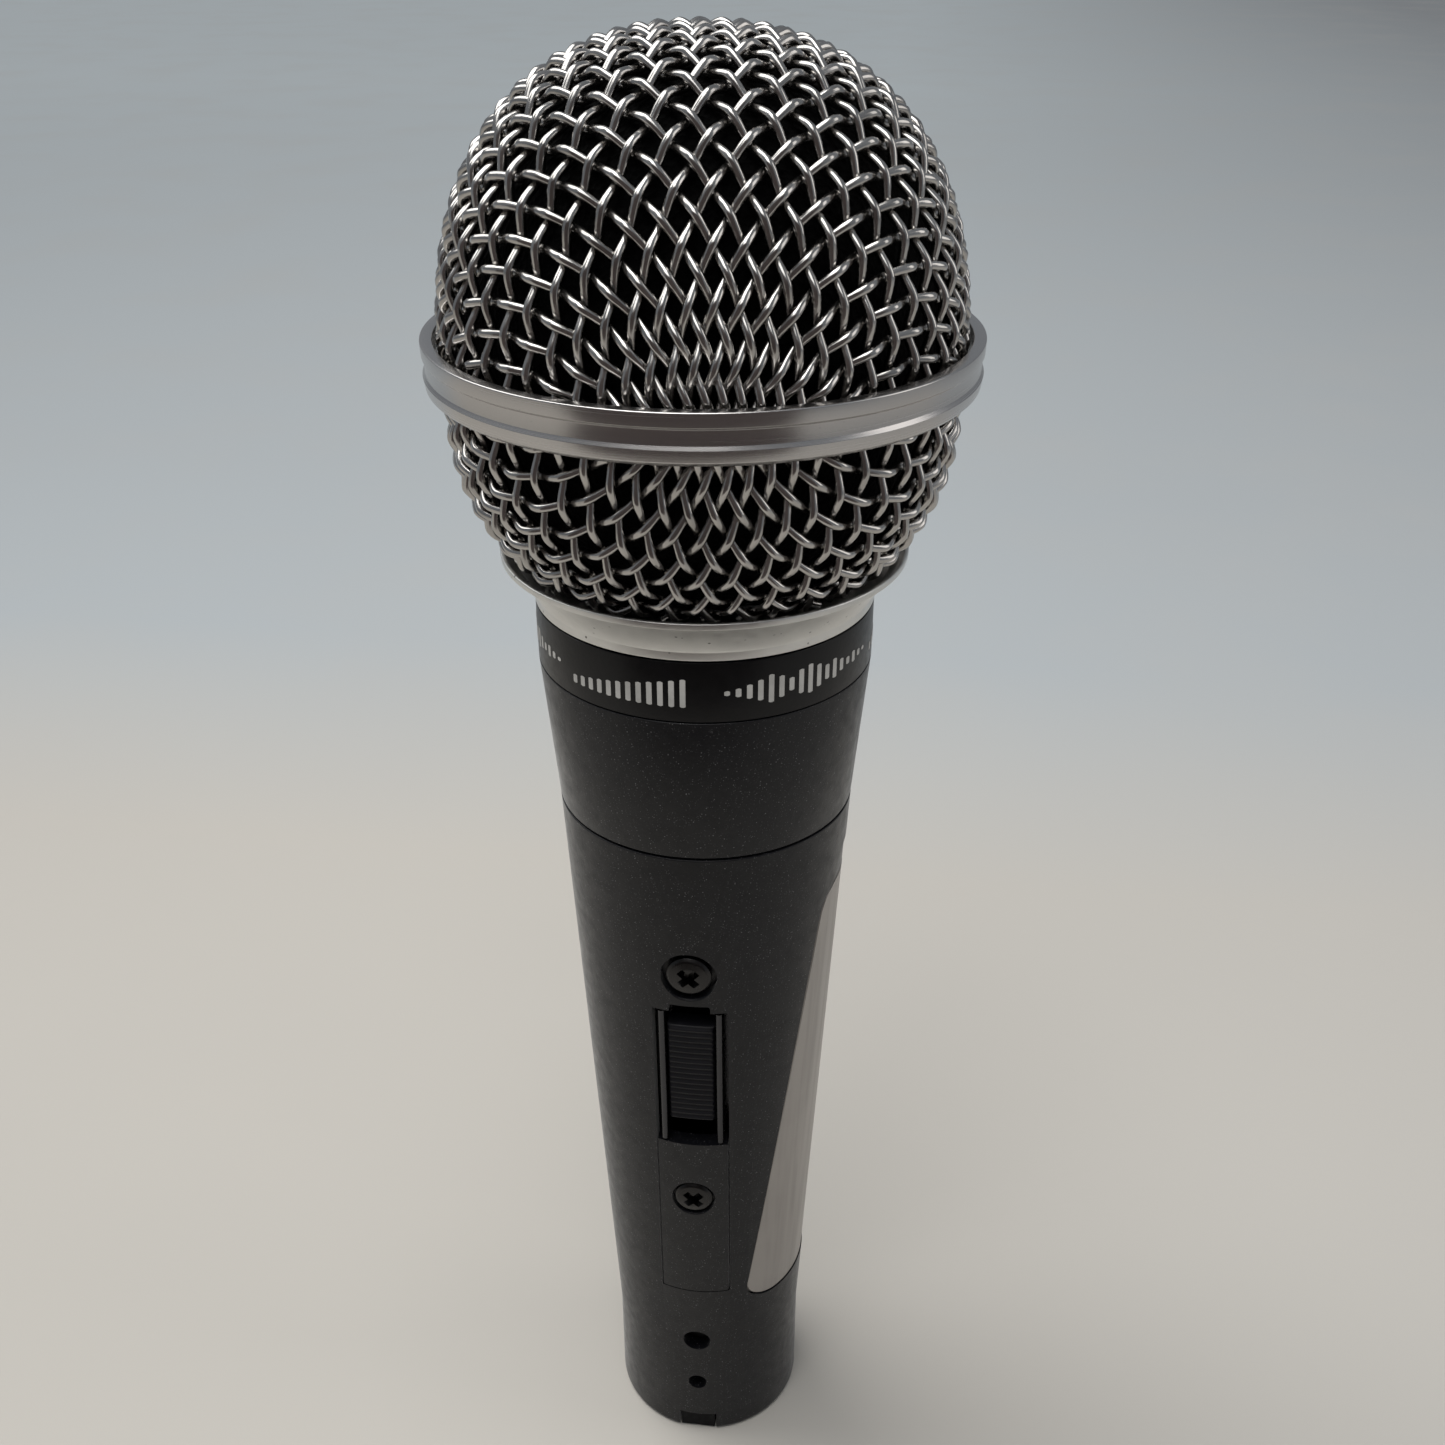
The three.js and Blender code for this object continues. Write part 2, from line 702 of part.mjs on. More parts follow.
function connectorInsert() {
  const { outerRadius, cavityRadius, rim, face, top } = XLR;
  const cup = turned([
    [0, face],
    [cavityRadius, face],
    [cavityRadius, rim],
    [outerRadius, rim],
    [outerRadius, top],
    [0, top],
  ], INNER_ROUND);
  const { outside, inside } = SOCKET_CUT;
  const { width, height, tabFront } = LATCH_NOTCH;
  const half = width / 2 - GAP;
  const tab = block(-half, half, -tabFront, -(cavityRadius + outerRadius) / 2, rim, height - GAP);
  return cut(
    join(cup, tab),
    ...PIN_PLACES.map(([x, y]) =>
      disc(XLR.pinHoleRadius, face - OVER, top + OVER, SMALL_ROUND).translate(x, y, 0)),
    barAlongY(SET_SCREW.holeRadius, -outside, GAP - SET_SCREW.back, SET_SCREW.height),
    barAlongY(LATCH_HOLE.radius, -outside, -inside, LATCH_HOLE.height),
  );
}

function connectorPin() {
  const { pinRadius, pinTip, pinTipRadius, pinTaper, pinTop } = XLR;
  return turned([
    [0, pinTip],
    [pinTipRadius, pinTip],
    [pinRadius, pinTip + pinTaper],
    [pinRadius, pinTop],
    [0, pinTop],
  ], SMALL_ROUND);
}

function setScrew() {
  const { radius, front, back, height, slotDepth, slotHalf } = SET_SCREW;
  const body = barAlongY(radius, -front, -back, height);
  const wide = 2 * radius;
  const [low, high] = [height - slotHalf, height + slotHalf];
  return cut(body, block(-wide, wide, -front - OVER, slotDepth - front, low, high));
}

// ---------------------------------------------------------------- capsule

function shockMount() {
  const { bore, bottom, flangeRadius, flangeHeight } = SHOCK_MOUNT;
  const top = NECK.threadTop + GAP;
  return turned([
    [bore, bottom],
    [NECK.bore - GAP, bottom],
    [NECK.bore - GAP, top],
    [flangeRadius, top],
    [flangeRadius, top + flangeHeight],
    [bore, top + flangeHeight],
  ], INNER_ROUND);
}

function rearChamber() {
  const { radius, wall, bottom, top } = REAR_CHAMBER;
  return turned([
    [0, bottom],
    [radius, bottom],
    [radius, top],
    [radius - wall, top],
    [radius - wall, bottom + wall],
    [0, bottom + wall],
  ], INNER_ROUND);
}

function capsuleHousing() {
  const { radius, wall, bottom, top, floor, ventRadius } = CAPSULE;
  return turned([
    [ventRadius, bottom],
    [radius, bottom],
    [radius, top],
    [radius - wall, top],
    [radius - wall, bottom + floor],
    [ventRadius, bottom + floor],
  ], INNER_ROUND);
}

function yoke() {
  const { bore, cupRadius, radius, bottom, floorTop, top } = YOKE;
  return turned([
    [bore, bottom],
    [radius, bottom],
    [radius, top],
    [cupRadius, top],
    [cupRadius, floorTop],
    [bore, floorTop],
  ], INNER_ROUND);
}

// The diaphragm: a centre dome with a half-roll surround, as a thin closed sheet.
function diaphragm() {
  const { base, thickness, domeRadius, domeRise, rollHalfWidth, rollRise } = DIAPHRAGM;
  const rollMiddle = domeRadius + rollHalfWidth;
  const dome = steps(0, domeRadius, 3).map((r) => [r, base + domeRise * (1 - (r / domeRadius) ** 2)]);
  const roll = steps(0, Math.PI, 4).slice(1).map((angle) => [
    rollMiddle - rollHalfWidth * Math.cos(angle),
    base + rollRise * Math.sin(angle),
  ]);
  const under = [...dome, ...roll];
  const over = under.map(([r, z]) => [r, z + thickness]).reverse();
  return turned([...under, ...over], INNER_ROUND);
}

function frontCap() {
  const { thickness, holeRadius, holeCircle, holes } = FRONT_CAP;
  const bottom = CAPSULE.top + GAP;
  const around = steps(0, 2 * Math.PI, holes).slice(1).map((angle) => [
    holeCircle * Math.cos(angle),
    holeCircle * Math.sin(angle),
  ]);
  return cut(
    disc(CAPSULE.radius, bottom, bottom + thickness),
    ...[[0, 0], ...around].map(([x, y]) =>
      disc(holeRadius, bottom - OVER, bottom + thickness + OVER, SMALL_ROUND).translate(x, y, 0)),
  );
}

// ---------------------------------------------------------------- leads

// A round lead through the points given, with flat ends.
function lead(points) {
  const path = new THREE.CatmullRomCurve3(points.map((p) => new THREE.Vector3(...p)));
  const section = new THREE.Shape();
  section.absarc(0, 0, LEAD_RADIUS, 0, 2 * Math.PI, true);
  return new THREE.ExtrudeGeometry(section, {
    steps: LEAD_STEPS,
    curveSegments: 3,
    bevelEnabled: false,
    extrudePath: path,
  });
}

function leads() {
  const pinEnd = XLR.pinTop + GAP;
  const boardUnder = BOARD.bottom - GAP;
  const [low, middle, high] = TERMINAL.heights.map((z) => SWITCH_CENTRE + z);
  return [
    piece('lead_capsule_hot', 'lead_red', lead([
      [-4, 1, boardUnder], [-4.5, 2, 94], [-2, 3, 80], [0, 1.8, 70], [0, -0.4, high],
    ])),
    piece('lead_capsule_cold', 'lead_white', lead([
      [4, 1, boardUnder], [5.5, 4, 90], [6, 4.5, 60], [3, 5, 38], [0, XLR.pinCircle, pinEnd],
    ])),
    piece('lead_switch_hot', 'lead_yellow', lead([
      [0, -0.4, middle], [2.5, 1.5, 56], [4, 0.5, 44], [XLR.pinCircle, 0, pinEnd],
    ])),
    piece('lead_ground', 'lead_black', lead([
      [0, -0.6, low], [-2.5, 0.8, 52], [-4, 0.5, 42], [-XLR.pinCircle, 0, pinEnd],
    ])),
  ];
}

// ---------------------------------------------------------------- assembly

const microphone = new THREE.Group();

microphone.add(
  piece('grille_upper_mesh', 'wire_nickel', upperMesh()),
  piece('grille_ring', 'satin_nickel', grilleRing()),
  piece('grille_lower_mesh', 'wire_nickel', lowerMesh()),
  piece('grille_collar', 'satin_nickel', grilleCollar()),
  piece('foam_windscreen', 'foam', foamWindscreen()),
  piece('handle', 'handle_paint', handleShell()),
  piece('neck_section', 'handle_paint', neckSection()),
  piece('name_band', 'band_paint', nameBand()),
  piece('side_label', 'label', sideLabel()),
  piece('switch_plate', 'handle_paint', switchPlate()),
  switchGroup(),
  piece('connector_insert', 'black_plastic', connectorInsert()),
  piece('connector_set_screw', 'screw_black', setScrew()),
  piece('shock_mount', 'rubber', shockMount()),
  piece('rear_chamber', 'black_plastic', rearChamber()),
  piece('capsule_housing', 'black_plastic', capsuleHousing()),
  piece('yoke', 'steel', yoke()),
  piece('magnet', 'magnet', disc(MAGNET.radius, MAGNET.bottom, MAGNET.top)),
  piece('pole_piece', 'steel', disc(POLE_PIECE.radius, POLE_PIECE.bottom, POLE_PIECE.top)),
  piece('diaphragm_seat', 'black_plastic', sleeve(SEAT.inner, SEAT.outer, SEAT.bottom, SEAT.top)),
  piece('voice_coil', 'copper', sleeve(COIL.inner, COIL.outer, COIL.bottom, COIL.top)),
  piece('diaphragm', 'film', diaphragm()),
  piece('capsule_front_cap', 'black_plastic', frontCap()),
  piece('capsule_screen', 'foam', disc(SCREEN.radius, SCREEN.bottom, SCREEN.top)),
  piece('terminal_board', 'board', disc(BOARD.radius, BOARD.bottom, BOARD.top)),
  ...leads(),
);

PIN_PLACES.forEach(([x, y], i) => {
  const pin = piece(`connector_pin_${i + 1}`, 'brass', connectorPin());
  pin.position.set(x, y, 0);
  microphone.add(pin);
});

export default microphone;
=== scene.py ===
"""A hand-held dynamic microphone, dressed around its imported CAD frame.

Helpers take millimetres and make meshes in metres. +Z runs up the microphone's axis, the switch faces
-Y and the label is on the +X side. Azimuths are measured from -Y towards +X.
"""
import math

import bmesh
import bpy
import numpy as np
from mathutils import Matrix, Vector, noise


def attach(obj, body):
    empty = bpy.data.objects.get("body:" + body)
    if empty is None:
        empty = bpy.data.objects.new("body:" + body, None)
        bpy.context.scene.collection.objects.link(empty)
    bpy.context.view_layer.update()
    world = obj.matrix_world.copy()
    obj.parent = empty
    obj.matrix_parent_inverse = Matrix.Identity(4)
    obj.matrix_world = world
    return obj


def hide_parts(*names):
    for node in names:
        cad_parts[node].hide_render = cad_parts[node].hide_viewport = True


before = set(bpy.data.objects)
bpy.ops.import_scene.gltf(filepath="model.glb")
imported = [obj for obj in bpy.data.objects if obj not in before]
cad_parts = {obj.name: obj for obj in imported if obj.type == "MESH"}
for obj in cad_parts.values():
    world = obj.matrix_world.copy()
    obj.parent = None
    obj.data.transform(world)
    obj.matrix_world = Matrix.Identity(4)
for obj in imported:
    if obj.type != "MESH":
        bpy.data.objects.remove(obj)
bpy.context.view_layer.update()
MM = 0.001
SCENE = bpy.context.scene


def placed(name, data):
    obj = bpy.data.objects.new(name, data)
    SCENE.collection.objects.link(obj)
    return obj


# ---------------------------------------------------------------- camera

CAMERA_PLACE = (0.01994, -0.14557, 0.18273)
CAMERA_TURN = (60.98, 0.0, 7.094)  # degrees
CAMERA_LENS = 38.62

camera_data = bpy.data.cameras.new("camera")
camera_data.sensor_width = 36
camera_data.lens = CAMERA_LENS
camera_data.clip_start = 0.005
camera_data.clip_end = 20
camera = placed("camera", camera_data)
camera.location = CAMERA_PLACE
camera.rotation_euler = [math.radians(a) for a in CAMERA_TURN]
SCENE.camera = camera

# ---------------------------------------------------------------- dimensions, in mm

BODY_SIDES = 288
SMALL_SIDES = 64
INNER_SIDES = 96

TAIL_RADIUS, TAIL_HEIGHT = 11.8, 14.0
HANDLE_TOP_RADIUS, HANDLE_TOP = 15.98, 94.1
SEAM = 0.15  # half of the gap at each joint of the body
WALL = 2.0
TAPER = (HANDLE_TOP_RADIUS - TAIL_RADIUS) / (HANDLE_TOP - TAIL_HEIGHT)
TILT = math.atan(TAPER)

NECK_TOP_RADIUS, FLARE_TOP, BAND_TOP = 17.44, 110.7, 117.2
SLEEVE_RADIUS, THREAD_RADIUS, THREAD_TOP = 15.7, 15.6, 122.0
THREAD_PITCH, THREAD_DEPTH = 1.0, 0.45
NECK_BORE, SPIGOT_RADIUS, SPIGOT_BORE, SPIGOT_LENGTH = 14.2, 14.1, 12.9, 7.6

WIRE_RADIUS = 0.42
DOME_RADIUS, DOME_HEIGHT, DOME_POWER, DOME_EQUATOR = 25.13, 28.59, 2.33, 142.4
BOWL_RADIUS, BOWL_DEPTH, BOWL_POWER, BOWL_CENTRE = 24.95, 22.3, 2.08, 137.0
DOME_PITCH, BOWL_PITCH = 2.6, 2.7
WEAVE_TURN = 9.8  # azimuth of the diagonal of the weave, degrees

SWITCH_CENTRE = 63.5
SLOT_HALF, SLOT_BOTTOM, SLOT_TOP = 4.25, 27.0, 73.2
SLOT_NOTCH_HALF, SLOT_NOTCH_TOP = 2.3, 74.2
FILLER_HALF, FILLER_BOTTOM, FILLER_TOP = 4.08, 27.14, 52.9
TOP_SCREW, PLATE_SCREW, SHANK_HOLE = 78.2, 43.8, 1.5  # two heights and a radius
LABEL_TOP, LABEL_GAP, LABEL_DEPTH = 84.5, 0.2, 0.8
LABEL_SINK, LABEL_BACK = 0.12, 0.52  # its two faces, under the handle's surface
RELIEF_TOP, RELIEF_DEPTH = 88.5, 0.15
SET_SCREW, SET_SCREW_HOLE = 17.4, 1.75  # height and radius
LATCH, LATCH_HOLE = 9.3, 1.2
PIN_CIRCLE = 3.81
CUT_FRONT, CUT_BACK = -20, -5  # Y of the ends of the square cutters


def handle_radius(z):
    return TAIL_RADIUS + TAPER * max(0.0, z - TAIL_HEIGHT)


def handle_slope(z):
    return TAPER if z > TAIL_HEIGHT else 0.0


# ---------------------------------------------------------------- materials


class Material:
    """A Principled material being built, with its nodes added one at a time."""

    def __init__(self, name, colour, roughness, metallic=0.0, specular=0.5):
        self.data = bpy.data.materials.new(name)
        self.data.use_nodes = True
        self.tree = self.data.node_tree
        self.shader = self.tree.nodes["Principled BSDF"]
        self.shader.inputs["Base Color"].default_value = (*colour, 1)
        self.shader.inputs["Roughness"].default_value = roughness
        self.shader.inputs["Metallic"].default_value = metallic
        self.shader.inputs["Specular IOR Level"].default_value = specular
        self.coordinates = self.add("ShaderNodeTexCoord").outputs["Object"]
        self.colour = None
        self.height = None

    def add(self, kind, **settings):
        node = self.tree.nodes.new(kind)
        for key, value in settings.items():
            if key in node.inputs:
                node.inputs[key].default_value = value
            else:
                setattr(node, key, value)
        return node

    def link(self, source, target):
        self.tree.links.new(source, target)

    def stretched(self, scale):
        """Object coordinates, scaled along each axis."""
        mapping = self.add("ShaderNodeMapping")
        mapping.inputs["Scale"].default_value = scale
        self.link(self.coordinates, mapping.inputs["Vector"])
        return mapping.outputs["Vector"]

    def noise(self, scale, detail=2.0, vector=None):
        node = self.add("ShaderNodeTexNoise", Scale=scale, Detail=detail, Roughness=0.5)
        self.link(vector or self.coordinates, node.inputs["Vector"])
        return node.outputs["Fac"]

    def ramp(self, source, low, high, bottom=0.0, top=1.0):
        """The source, run from bottom to top as it goes from low to high."""
        node = self.add("ShaderNodeMapRange")
        for key, value in (("From Min", low), ("From Max", high), ("To Min", bottom), ("To Max", top)):
            node.inputs[key].default_value = value
        self.link(source, node.inputs["Value"])
        return node.outputs["Result"]

    def tint(self, colour, amount):
        """Mixes a colour over what is there already, by an amount from 0 to 1."""
        mix = self.add("ShaderNodeMix", data_type="RGBA")
        colours = [s for s in mix.inputs if s.type == "RGBA"]
        colours[0].default_value = self.shader.inputs["Base Color"].default_value[:]
        colours[1].default_value = (*colour, 1)
        if self.colour:
            self.link(self.colour, colours[0])
        self.link(amount, mix.inputs["Factor"])
        self.colour = [s for s in mix.outputs if s.type == "RGBA"][0]
        self.link(self.colour, self.shader.inputs["Base Color"])

    def speckle(self, scale, size, colour, strength=1.0):
        """Small round flecks of another colour."""
        cells = self.add("ShaderNodeTexVoronoi", Scale=scale)
        self.link(self.coordinates, cells.inputs["Vector"])
        near = self.ramp(cells.outputs["Distance"], size * 0.7, size, strength, 0.0)
        some = self.ramp(cells.outputs["Color"], 0.55, 0.8)
        both = self.add("ShaderNodeMath", operation="MULTIPLY")
        self.link(near, both.inputs[0])
        self.link(some, both.inputs[1])
        self.tint(colour, both.outputs[0])

    def rough(self, source, low, high):
        """Roughness that wanders between two values."""
        self.link(self.ramp(source, 0.3, 0.7, low, high), self.shader.inputs["Roughness"])

    def bump(self, source, distance):
        """Relief, as a distance in metres."""
        node = self.add("ShaderNodeBump", Strength=1.0, Distance=distance)
        self.link(source, node.inputs["Height"])
        if self.height:
            self.link(self.height, node.inputs["Normal"])
        self.height = node.outputs["Normal"]
        self.link(self.height, self.shader.inputs["Normal"])


def shade(colour, factor):
    return tuple(c * factor for c in colour)


def paint(name, colour, roughness, fleck):
    """Textured paint: fine orange peel, flecks, and a slow change of tone."""
    m = Material(name, colour, roughness, specular=0.30)
    m.shader.inputs["Sheen Weight"].default_value = 0.22
    m.shader.inputs["Sheen Roughness"].default_value = 0.30
    m.tint(shade(colour, 1.35), m.ramp(m.noise(90, 3), 0.35, 0.75))
    m.tint(shade(colour, 0.6), m.ramp(m.noise(3800, 2), 0.5, 0.72, 0, 0.7))
    m.speckle(5200, 0.30, fleck, 0.55)
    m.speckle(3000, 0.20, shade(fleck, 1.8), 0.75)
    m.rough(m.noise(700, 3), roughness - 0.07, roughness + 0.08)
    m.bump(m.noise(2100, 3), 0.000012)
    m.bump(m.noise(6500, 1), 0.000006)
    return m.data


def metal(name, colour, roughness, grain=4200, relief=0.000004, stain=0.7, pits=False):
    """Plated or bare metal: a fine grain, uneven gloss and faint stains."""
    m = Material(name, colour, roughness, metallic=1.0)
    m.tint(shade(colour, stain), m.ramp(m.noise(130, 4), 0.5, 0.8, 0, 0.8))
    if pits:
        m.speckle(1100, 0.17, shade(colour, 0.12), 0.9)
    m.rough(m.noise(900, 4), roughness * 0.85, roughness * 1.2)
    m.bump(m.noise(grain, 2), relief)
    return m.data


def spun(name, colour, roughness):
    """Metal turned on a lathe: fine lines round the axis, with a few soft stains."""
    m = Material(name, colour, roughness, metallic=1.0)
    lines = m.noise(1.0, 3, m.stretched((12, 12, 6500)))
    m.tint(shade(colour, 0.86), m.ramp(m.noise(45, 3), 0.5, 0.8, 0, 0.6))
    m.tint(shade(colour, 1.12), m.ramp(lines, 0.5, 0.75, 0, 0.5))
    m.rough(lines, roughness * 0.9, roughness * 1.12)
    m.bump(lines, 0.0000012)
    m.speckle(1100, 0.07, shade(colour, 0.25), 0.7)
    return m.data


def plastic(name, colour, roughness, relief=0.000008, specular=0.5):
    """Moulded plastic or rubber with a fine spark texture."""
    m = Material(name, colour, roughness, specular=specular)
    m.tint(shade(colour, 1.4), m.ramp(m.noise(300, 3), 0.4, 0.7))
    m.rough(m.noise(1200, 2), roughness * 0.9, min(1.0, roughness * 1.15))
    m.bump(m.noise(3200, 2), relief)
    return m.data


def brushed(name, colour, roughness, metallic, scale):
    """A surface with fine straight scratches along the direction of the smallest scale."""
    m = Material(name, colour, roughness, metallic)
    lines = m.noise(1.0, 3, m.stretched(scale))
    m.tint(shade(colour, 0.82), m.ramp(lines, 0.45, 0.7, 0, 0.6))
    m.tint(shade(colour, 1.12), m.ramp(m.noise(120, 3), 0.45, 0.75, 0, 0.6))
    m.rough(lines, roughness * 0.85, roughness * 1.15)
    m.bump(lines, 0.000003)
    return m.data


def foam(name, colour):
    """Open-cell foam: a matt ground whose pores are painted dark, as painted shade in the cells."""
    m = Material(name, colour, 1.0, specular=0.1)
    cells = m.add("ShaderNodeTexVoronoi", Scale=1700.0)
    m.link(m.coordinates, cells.inputs["Vector"])
    # Painted shade: the colour darkens near the middle of each cell, where the pores lie.
    m.tint(shade(colour, 0.2), m.ramp(cells.outputs["Distance"], 0.35, 0.1))
    m.bump(cells.outputs["Distance"], 0.0003)
    return m.data


CHARCOAL = paint("charcoal_paint", (0.0036, 0.0037, 0.0052), 0.38, (0.095, 0.094, 0.098))
BAND_BLACK = plastic("band_black", (0.0024, 0.0023, 0.0030), 0.33, specular=0.26)
NICKEL = spun("satin_nickel", (0.50, 0.485, 0.475), 0.25)
COLLAR_NICKEL = metal("blasted_nickel", (0.68, 0.675, 0.655), 0.38, 3600, 0.000006, 0.85, pits=True)
WIRE = metal("wire_nickel", (0.46, 0.445, 0.428), 0.20, 5200, 0.000002, 0.6)
FOAM = foam("foam_black", (0.0018, 0.0018, 0.0018))
SOCKET_BLACK = plastic("socket_black", (0.0028, 0.0028, 0.0034), 0.6, specular=0.15)
BLACK_PLASTIC = plastic("black_plastic", (0.0085, 0.0085, 0.0100), 0.45)
SLIDER_PLASTIC = plastic("slider_plastic", (0.0045, 0.0045, 0.0068), 0.45, specular=0.3)
SCREW_BLACK = metal("screw_black", (0.042, 0.041, 0.041), 0.30, 2600, 0.000004)
RAIL_BLACK = metal("rail_black", (0.062, 0.062, 0.066), 0.24, 2600, 0.000004)
LABEL = brushed("label_grey", (0.34, 0.315, 0.293), 0.38, 0.35, (900, 900, 22))
PRINT = plastic("print_grey", (0.46, 0.45, 0.43), 0.5)
STEEL = metal("steel", (0.42, 0.42, 0.42), 0.38)
MAGNET = metal("magnet_plating", (0.28, 0.285, 0.30), 0.3)
RUBBER = plastic("rubber", (0.012, 0.012, 0.012), 0.85, 0.00002)
FILM = plastic("diaphragm_film", (0.62, 0.59, 0.50), 0.25)
COPPER = brushed("coil_copper", (0.50, 0.21, 0.09), 0.35, 1.0, (40, 40, 9000))
BRASS = metal("brass", (0.62, 0.43, 0.15), 0.28)
BOARD = plastic("board", (0.16, 0.12, 0.045), 0.6)
LEAD_COLOURS = {
    "lead_red": (0.33, 0.018, 0.014),
    "lead_white": (0.62, 0.60, 0.56),
    "lead_yellow": (0.55, 0.35, 0.025),
    "lead_black": (0.012, 0.012, 0.012),
}
LEADS = {name: plastic(name, colour, 0.5) for name, colour in LEAD_COLOURS.items()}

# ---------------------------------------------------------------- mesh helpers


def new_object(name, verts, faces, material=None):
    """An object from points in mm."""
    mesh = bpy.data.meshes.new(name)
    mesh.from_pydata([tuple(c * MM for c in v) for v in verts], [], faces)
    if material:
        mesh.materials.append(material)
    return placed(name, mesh)


def smooth(obj, angle=32):
    obj.data.shade_smooth()
    obj.data.set_sharp_from_angle(angle=math.radians(angle))
    return obj


def named(obj, name, material):
    obj.name = obj.data.name = name
    obj.data.materials.clear()
    obj.data.materials.append(material)
    return obj


def dress(obj, body, slot, *nodes):
    """The piece rides on a body and stands for CAD nodes, which it hides. The slot is not used."""
    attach(obj, body)
    if nodes:
        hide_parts(*nodes)
    return obj


def rounded(points, radius=0.15, steps=3):
    """A closed profile with its corners rounded. A point may carry a radius of its own."""
    out = []
    n = len(points)
    for i, point in enumerate(points):
        p = np.array(point[:2], float)
        r = point[2] if len(point) > 2 else radius
        a = np.array(points[i - 1][:2], float) - p
        b = np.array(points[(i + 1) % n][:2], float) - p
        la, lb = np.linalg.norm(a), np.linalg.norm(b)
        turn = math.acos(max(-1, min(1, float(a @ b) / (la * lb))))
        reach = min(r / max(math.tan(turn / 2), 1e-3), la * 0.45, lb * 0.45)
        if p[0] < 1e-6 or r <= 0 or turn > math.radians(172):
            out.append(tuple(p))
            continue
        start, end = p + a / la * reach, p + b / lb * reach
        for k in range(steps + 1):
            t = k / steps
            q = start * (1 - t) ** 2 + 2 * p * t * (1 - t) + end * t * t
            out.append(tuple(q))
    return out


def lathe(profile, sides=INNER_SIDES, shift=None):
    """Points and faces of a closed solid turned about Z from a closed profile, outside going up.

    shift(radius, height, angle), if given, changes the radius of each point.
    """
    verts, faces, rings = [], [], []
    for r, z in profile:
        if r < 1e-6:
            rings.append([len(verts)])
            verts.append((0.0, 0.0, z))
            continue
        rings.append(list(range(len(verts), len(verts) + sides)))
        for i in range(sides):
            a = 2 * math.pi * i / sides
            q = shift(r, z, a) if shift else r
            verts.append((q * math.cos(a), q * math.sin(a), z))
    for low, high in zip(rings, rings[1:] + rings[:1]):
        if len(low) == 1 and len(high) == 1:
            continue
        for i in range(sides):
            j = (i + 1) % sides
            if len(low) == 1:
                faces.append((low[0], high[j], high[i]))
            elif len(high) == 1:
                faces.append((low[i], low[j], high[0]))
            else:
                faces.append((low[i], low[j], high[j], high[i]))
    return verts, faces


def turned(name, profile, material, sides=INNER_SIDES, round_by=0.15, shift=None, angle=32):
    outline = rounded(profile, round_by) if round_by else [p[:2] for p in profile]
    return smooth(new_object(name, *lathe(outline, sides, shift), material), angle)


def box_tool(x0, x1, y0, y1, z0, z1, corner=0.0):
    """A box for cutting. A corner rounds its edges along Y on the +X side."""
    return prism(rounded([(x0, z0), (x1, z0), (x1, z1), (x0, z1)], corner, 4), y0, y1, "y")


def prism(outline, start, end, axis):
    """A solid from an outline, extruded along an axis. The outline holds the other two in order."""
    order = {"x": (2, 0, 1), "y": (0, 2, 1), "z": (0, 1, 2)}[axis]
    n = len(outline)
    verts = [tuple((u, v, d)[k] for k in order) for d in (start, end) for u, v in outline]
    sides = [(i, (i + 1) % n, (i + 1) % n + n, i + n) for i in range(n)]
    faces = [tuple(range(n - 1, -1, -1)), tuple(range(n, 2 * n)), *sides]
    return face_out(new_object("tool", verts, faces))


def face_out(obj):
    """Turns the faces of a closed mesh outwards."""
    bm = bmesh.new()
    bm.from_mesh(obj.data)
    bmesh.ops.recalc_face_normals(bm, faces=bm.faces)
    bm.to_mesh(obj.data)
    bm.free()
    return obj


def bore_tool(radius, from_y, to_y, z, sides=SMALL_SIDES, mouth=0.0, mouth_y=None):
    """A round cutter along Y. A mouth widens its outer end, down to mouth_y."""
    stations = [(from_y, radius + mouth), (mouth_y, radius + mouth), (mouth_y + mouth, radius),
                (to_y, radius)] if mouth else [(from_y, radius), (to_y, radius)]
    verts, faces = [], []
    for y, r in stations:
        for i in range(sides):
            a = 2 * math.pi * i / sides
            verts.append((r * math.cos(a), y, z + r * math.sin(a)))
    for s in range(len(stations) - 1):
        for i in range(sides):
            j = (i + 1) % sides
            faces.append((s * sides + i, s * sides + j, (s + 1) * sides + j, (s + 1) * sides + i))
    faces.append(tuple(range(sides)))
    faces.append(tuple(range(len(verts) - 1, len(verts) - sides - 1, -1)))
    return face_out(new_object("tool", verts, faces))


def upright_bore(radius, bottom, top, x, y, sides):
    """A round cutter along Z."""
    tool = new_object("tool", *lathe([(0, bottom), (radius, bottom), (radius, top), (0, top)], sides))
    return moved(tool, Matrix.Translation((x * MM, y * MM, 0)))


def moved(obj, matrix):
    """Moves a mesh by changing its points. The matrix is in metres."""
    obj.data.transform(matrix)
    return obj


def on_front(obj, height):
    """Moves a tool made at Y 0, Z 0 onto the tapered front surface at a height in mm."""
    place = Matrix.Translation((0, -handle_radius(height) * MM, height * MM))
    return moved(obj, place @ Matrix.Rotation(TILT, 4, "X"))


def combine(obj, operation, *tools):
    """Cuts, joins or intersects with tools, which are then removed."""
    for tool in tools:
        change = obj.modifiers.new("change", "BOOLEAN")
        change.operation = operation
        change.solver = "MANIFOLD"
        change.object = tool
        depsgraph = bpy.context.evaluated_depsgraph_get()
        made = bpy.data.meshes.new_from_object(obj.evaluated_get(depsgraph))
        obj.modifiers.clear()
        old = obj.data
        made.polygons.foreach_set("material_index", [0] * len(made.polygons))
        while len(made.materials) > 1:
            made.materials.pop()
        obj.data = made
        made.name = old.name
        bpy.data.meshes.remove(old)
        bpy.data.objects.remove(tool)
    return obj


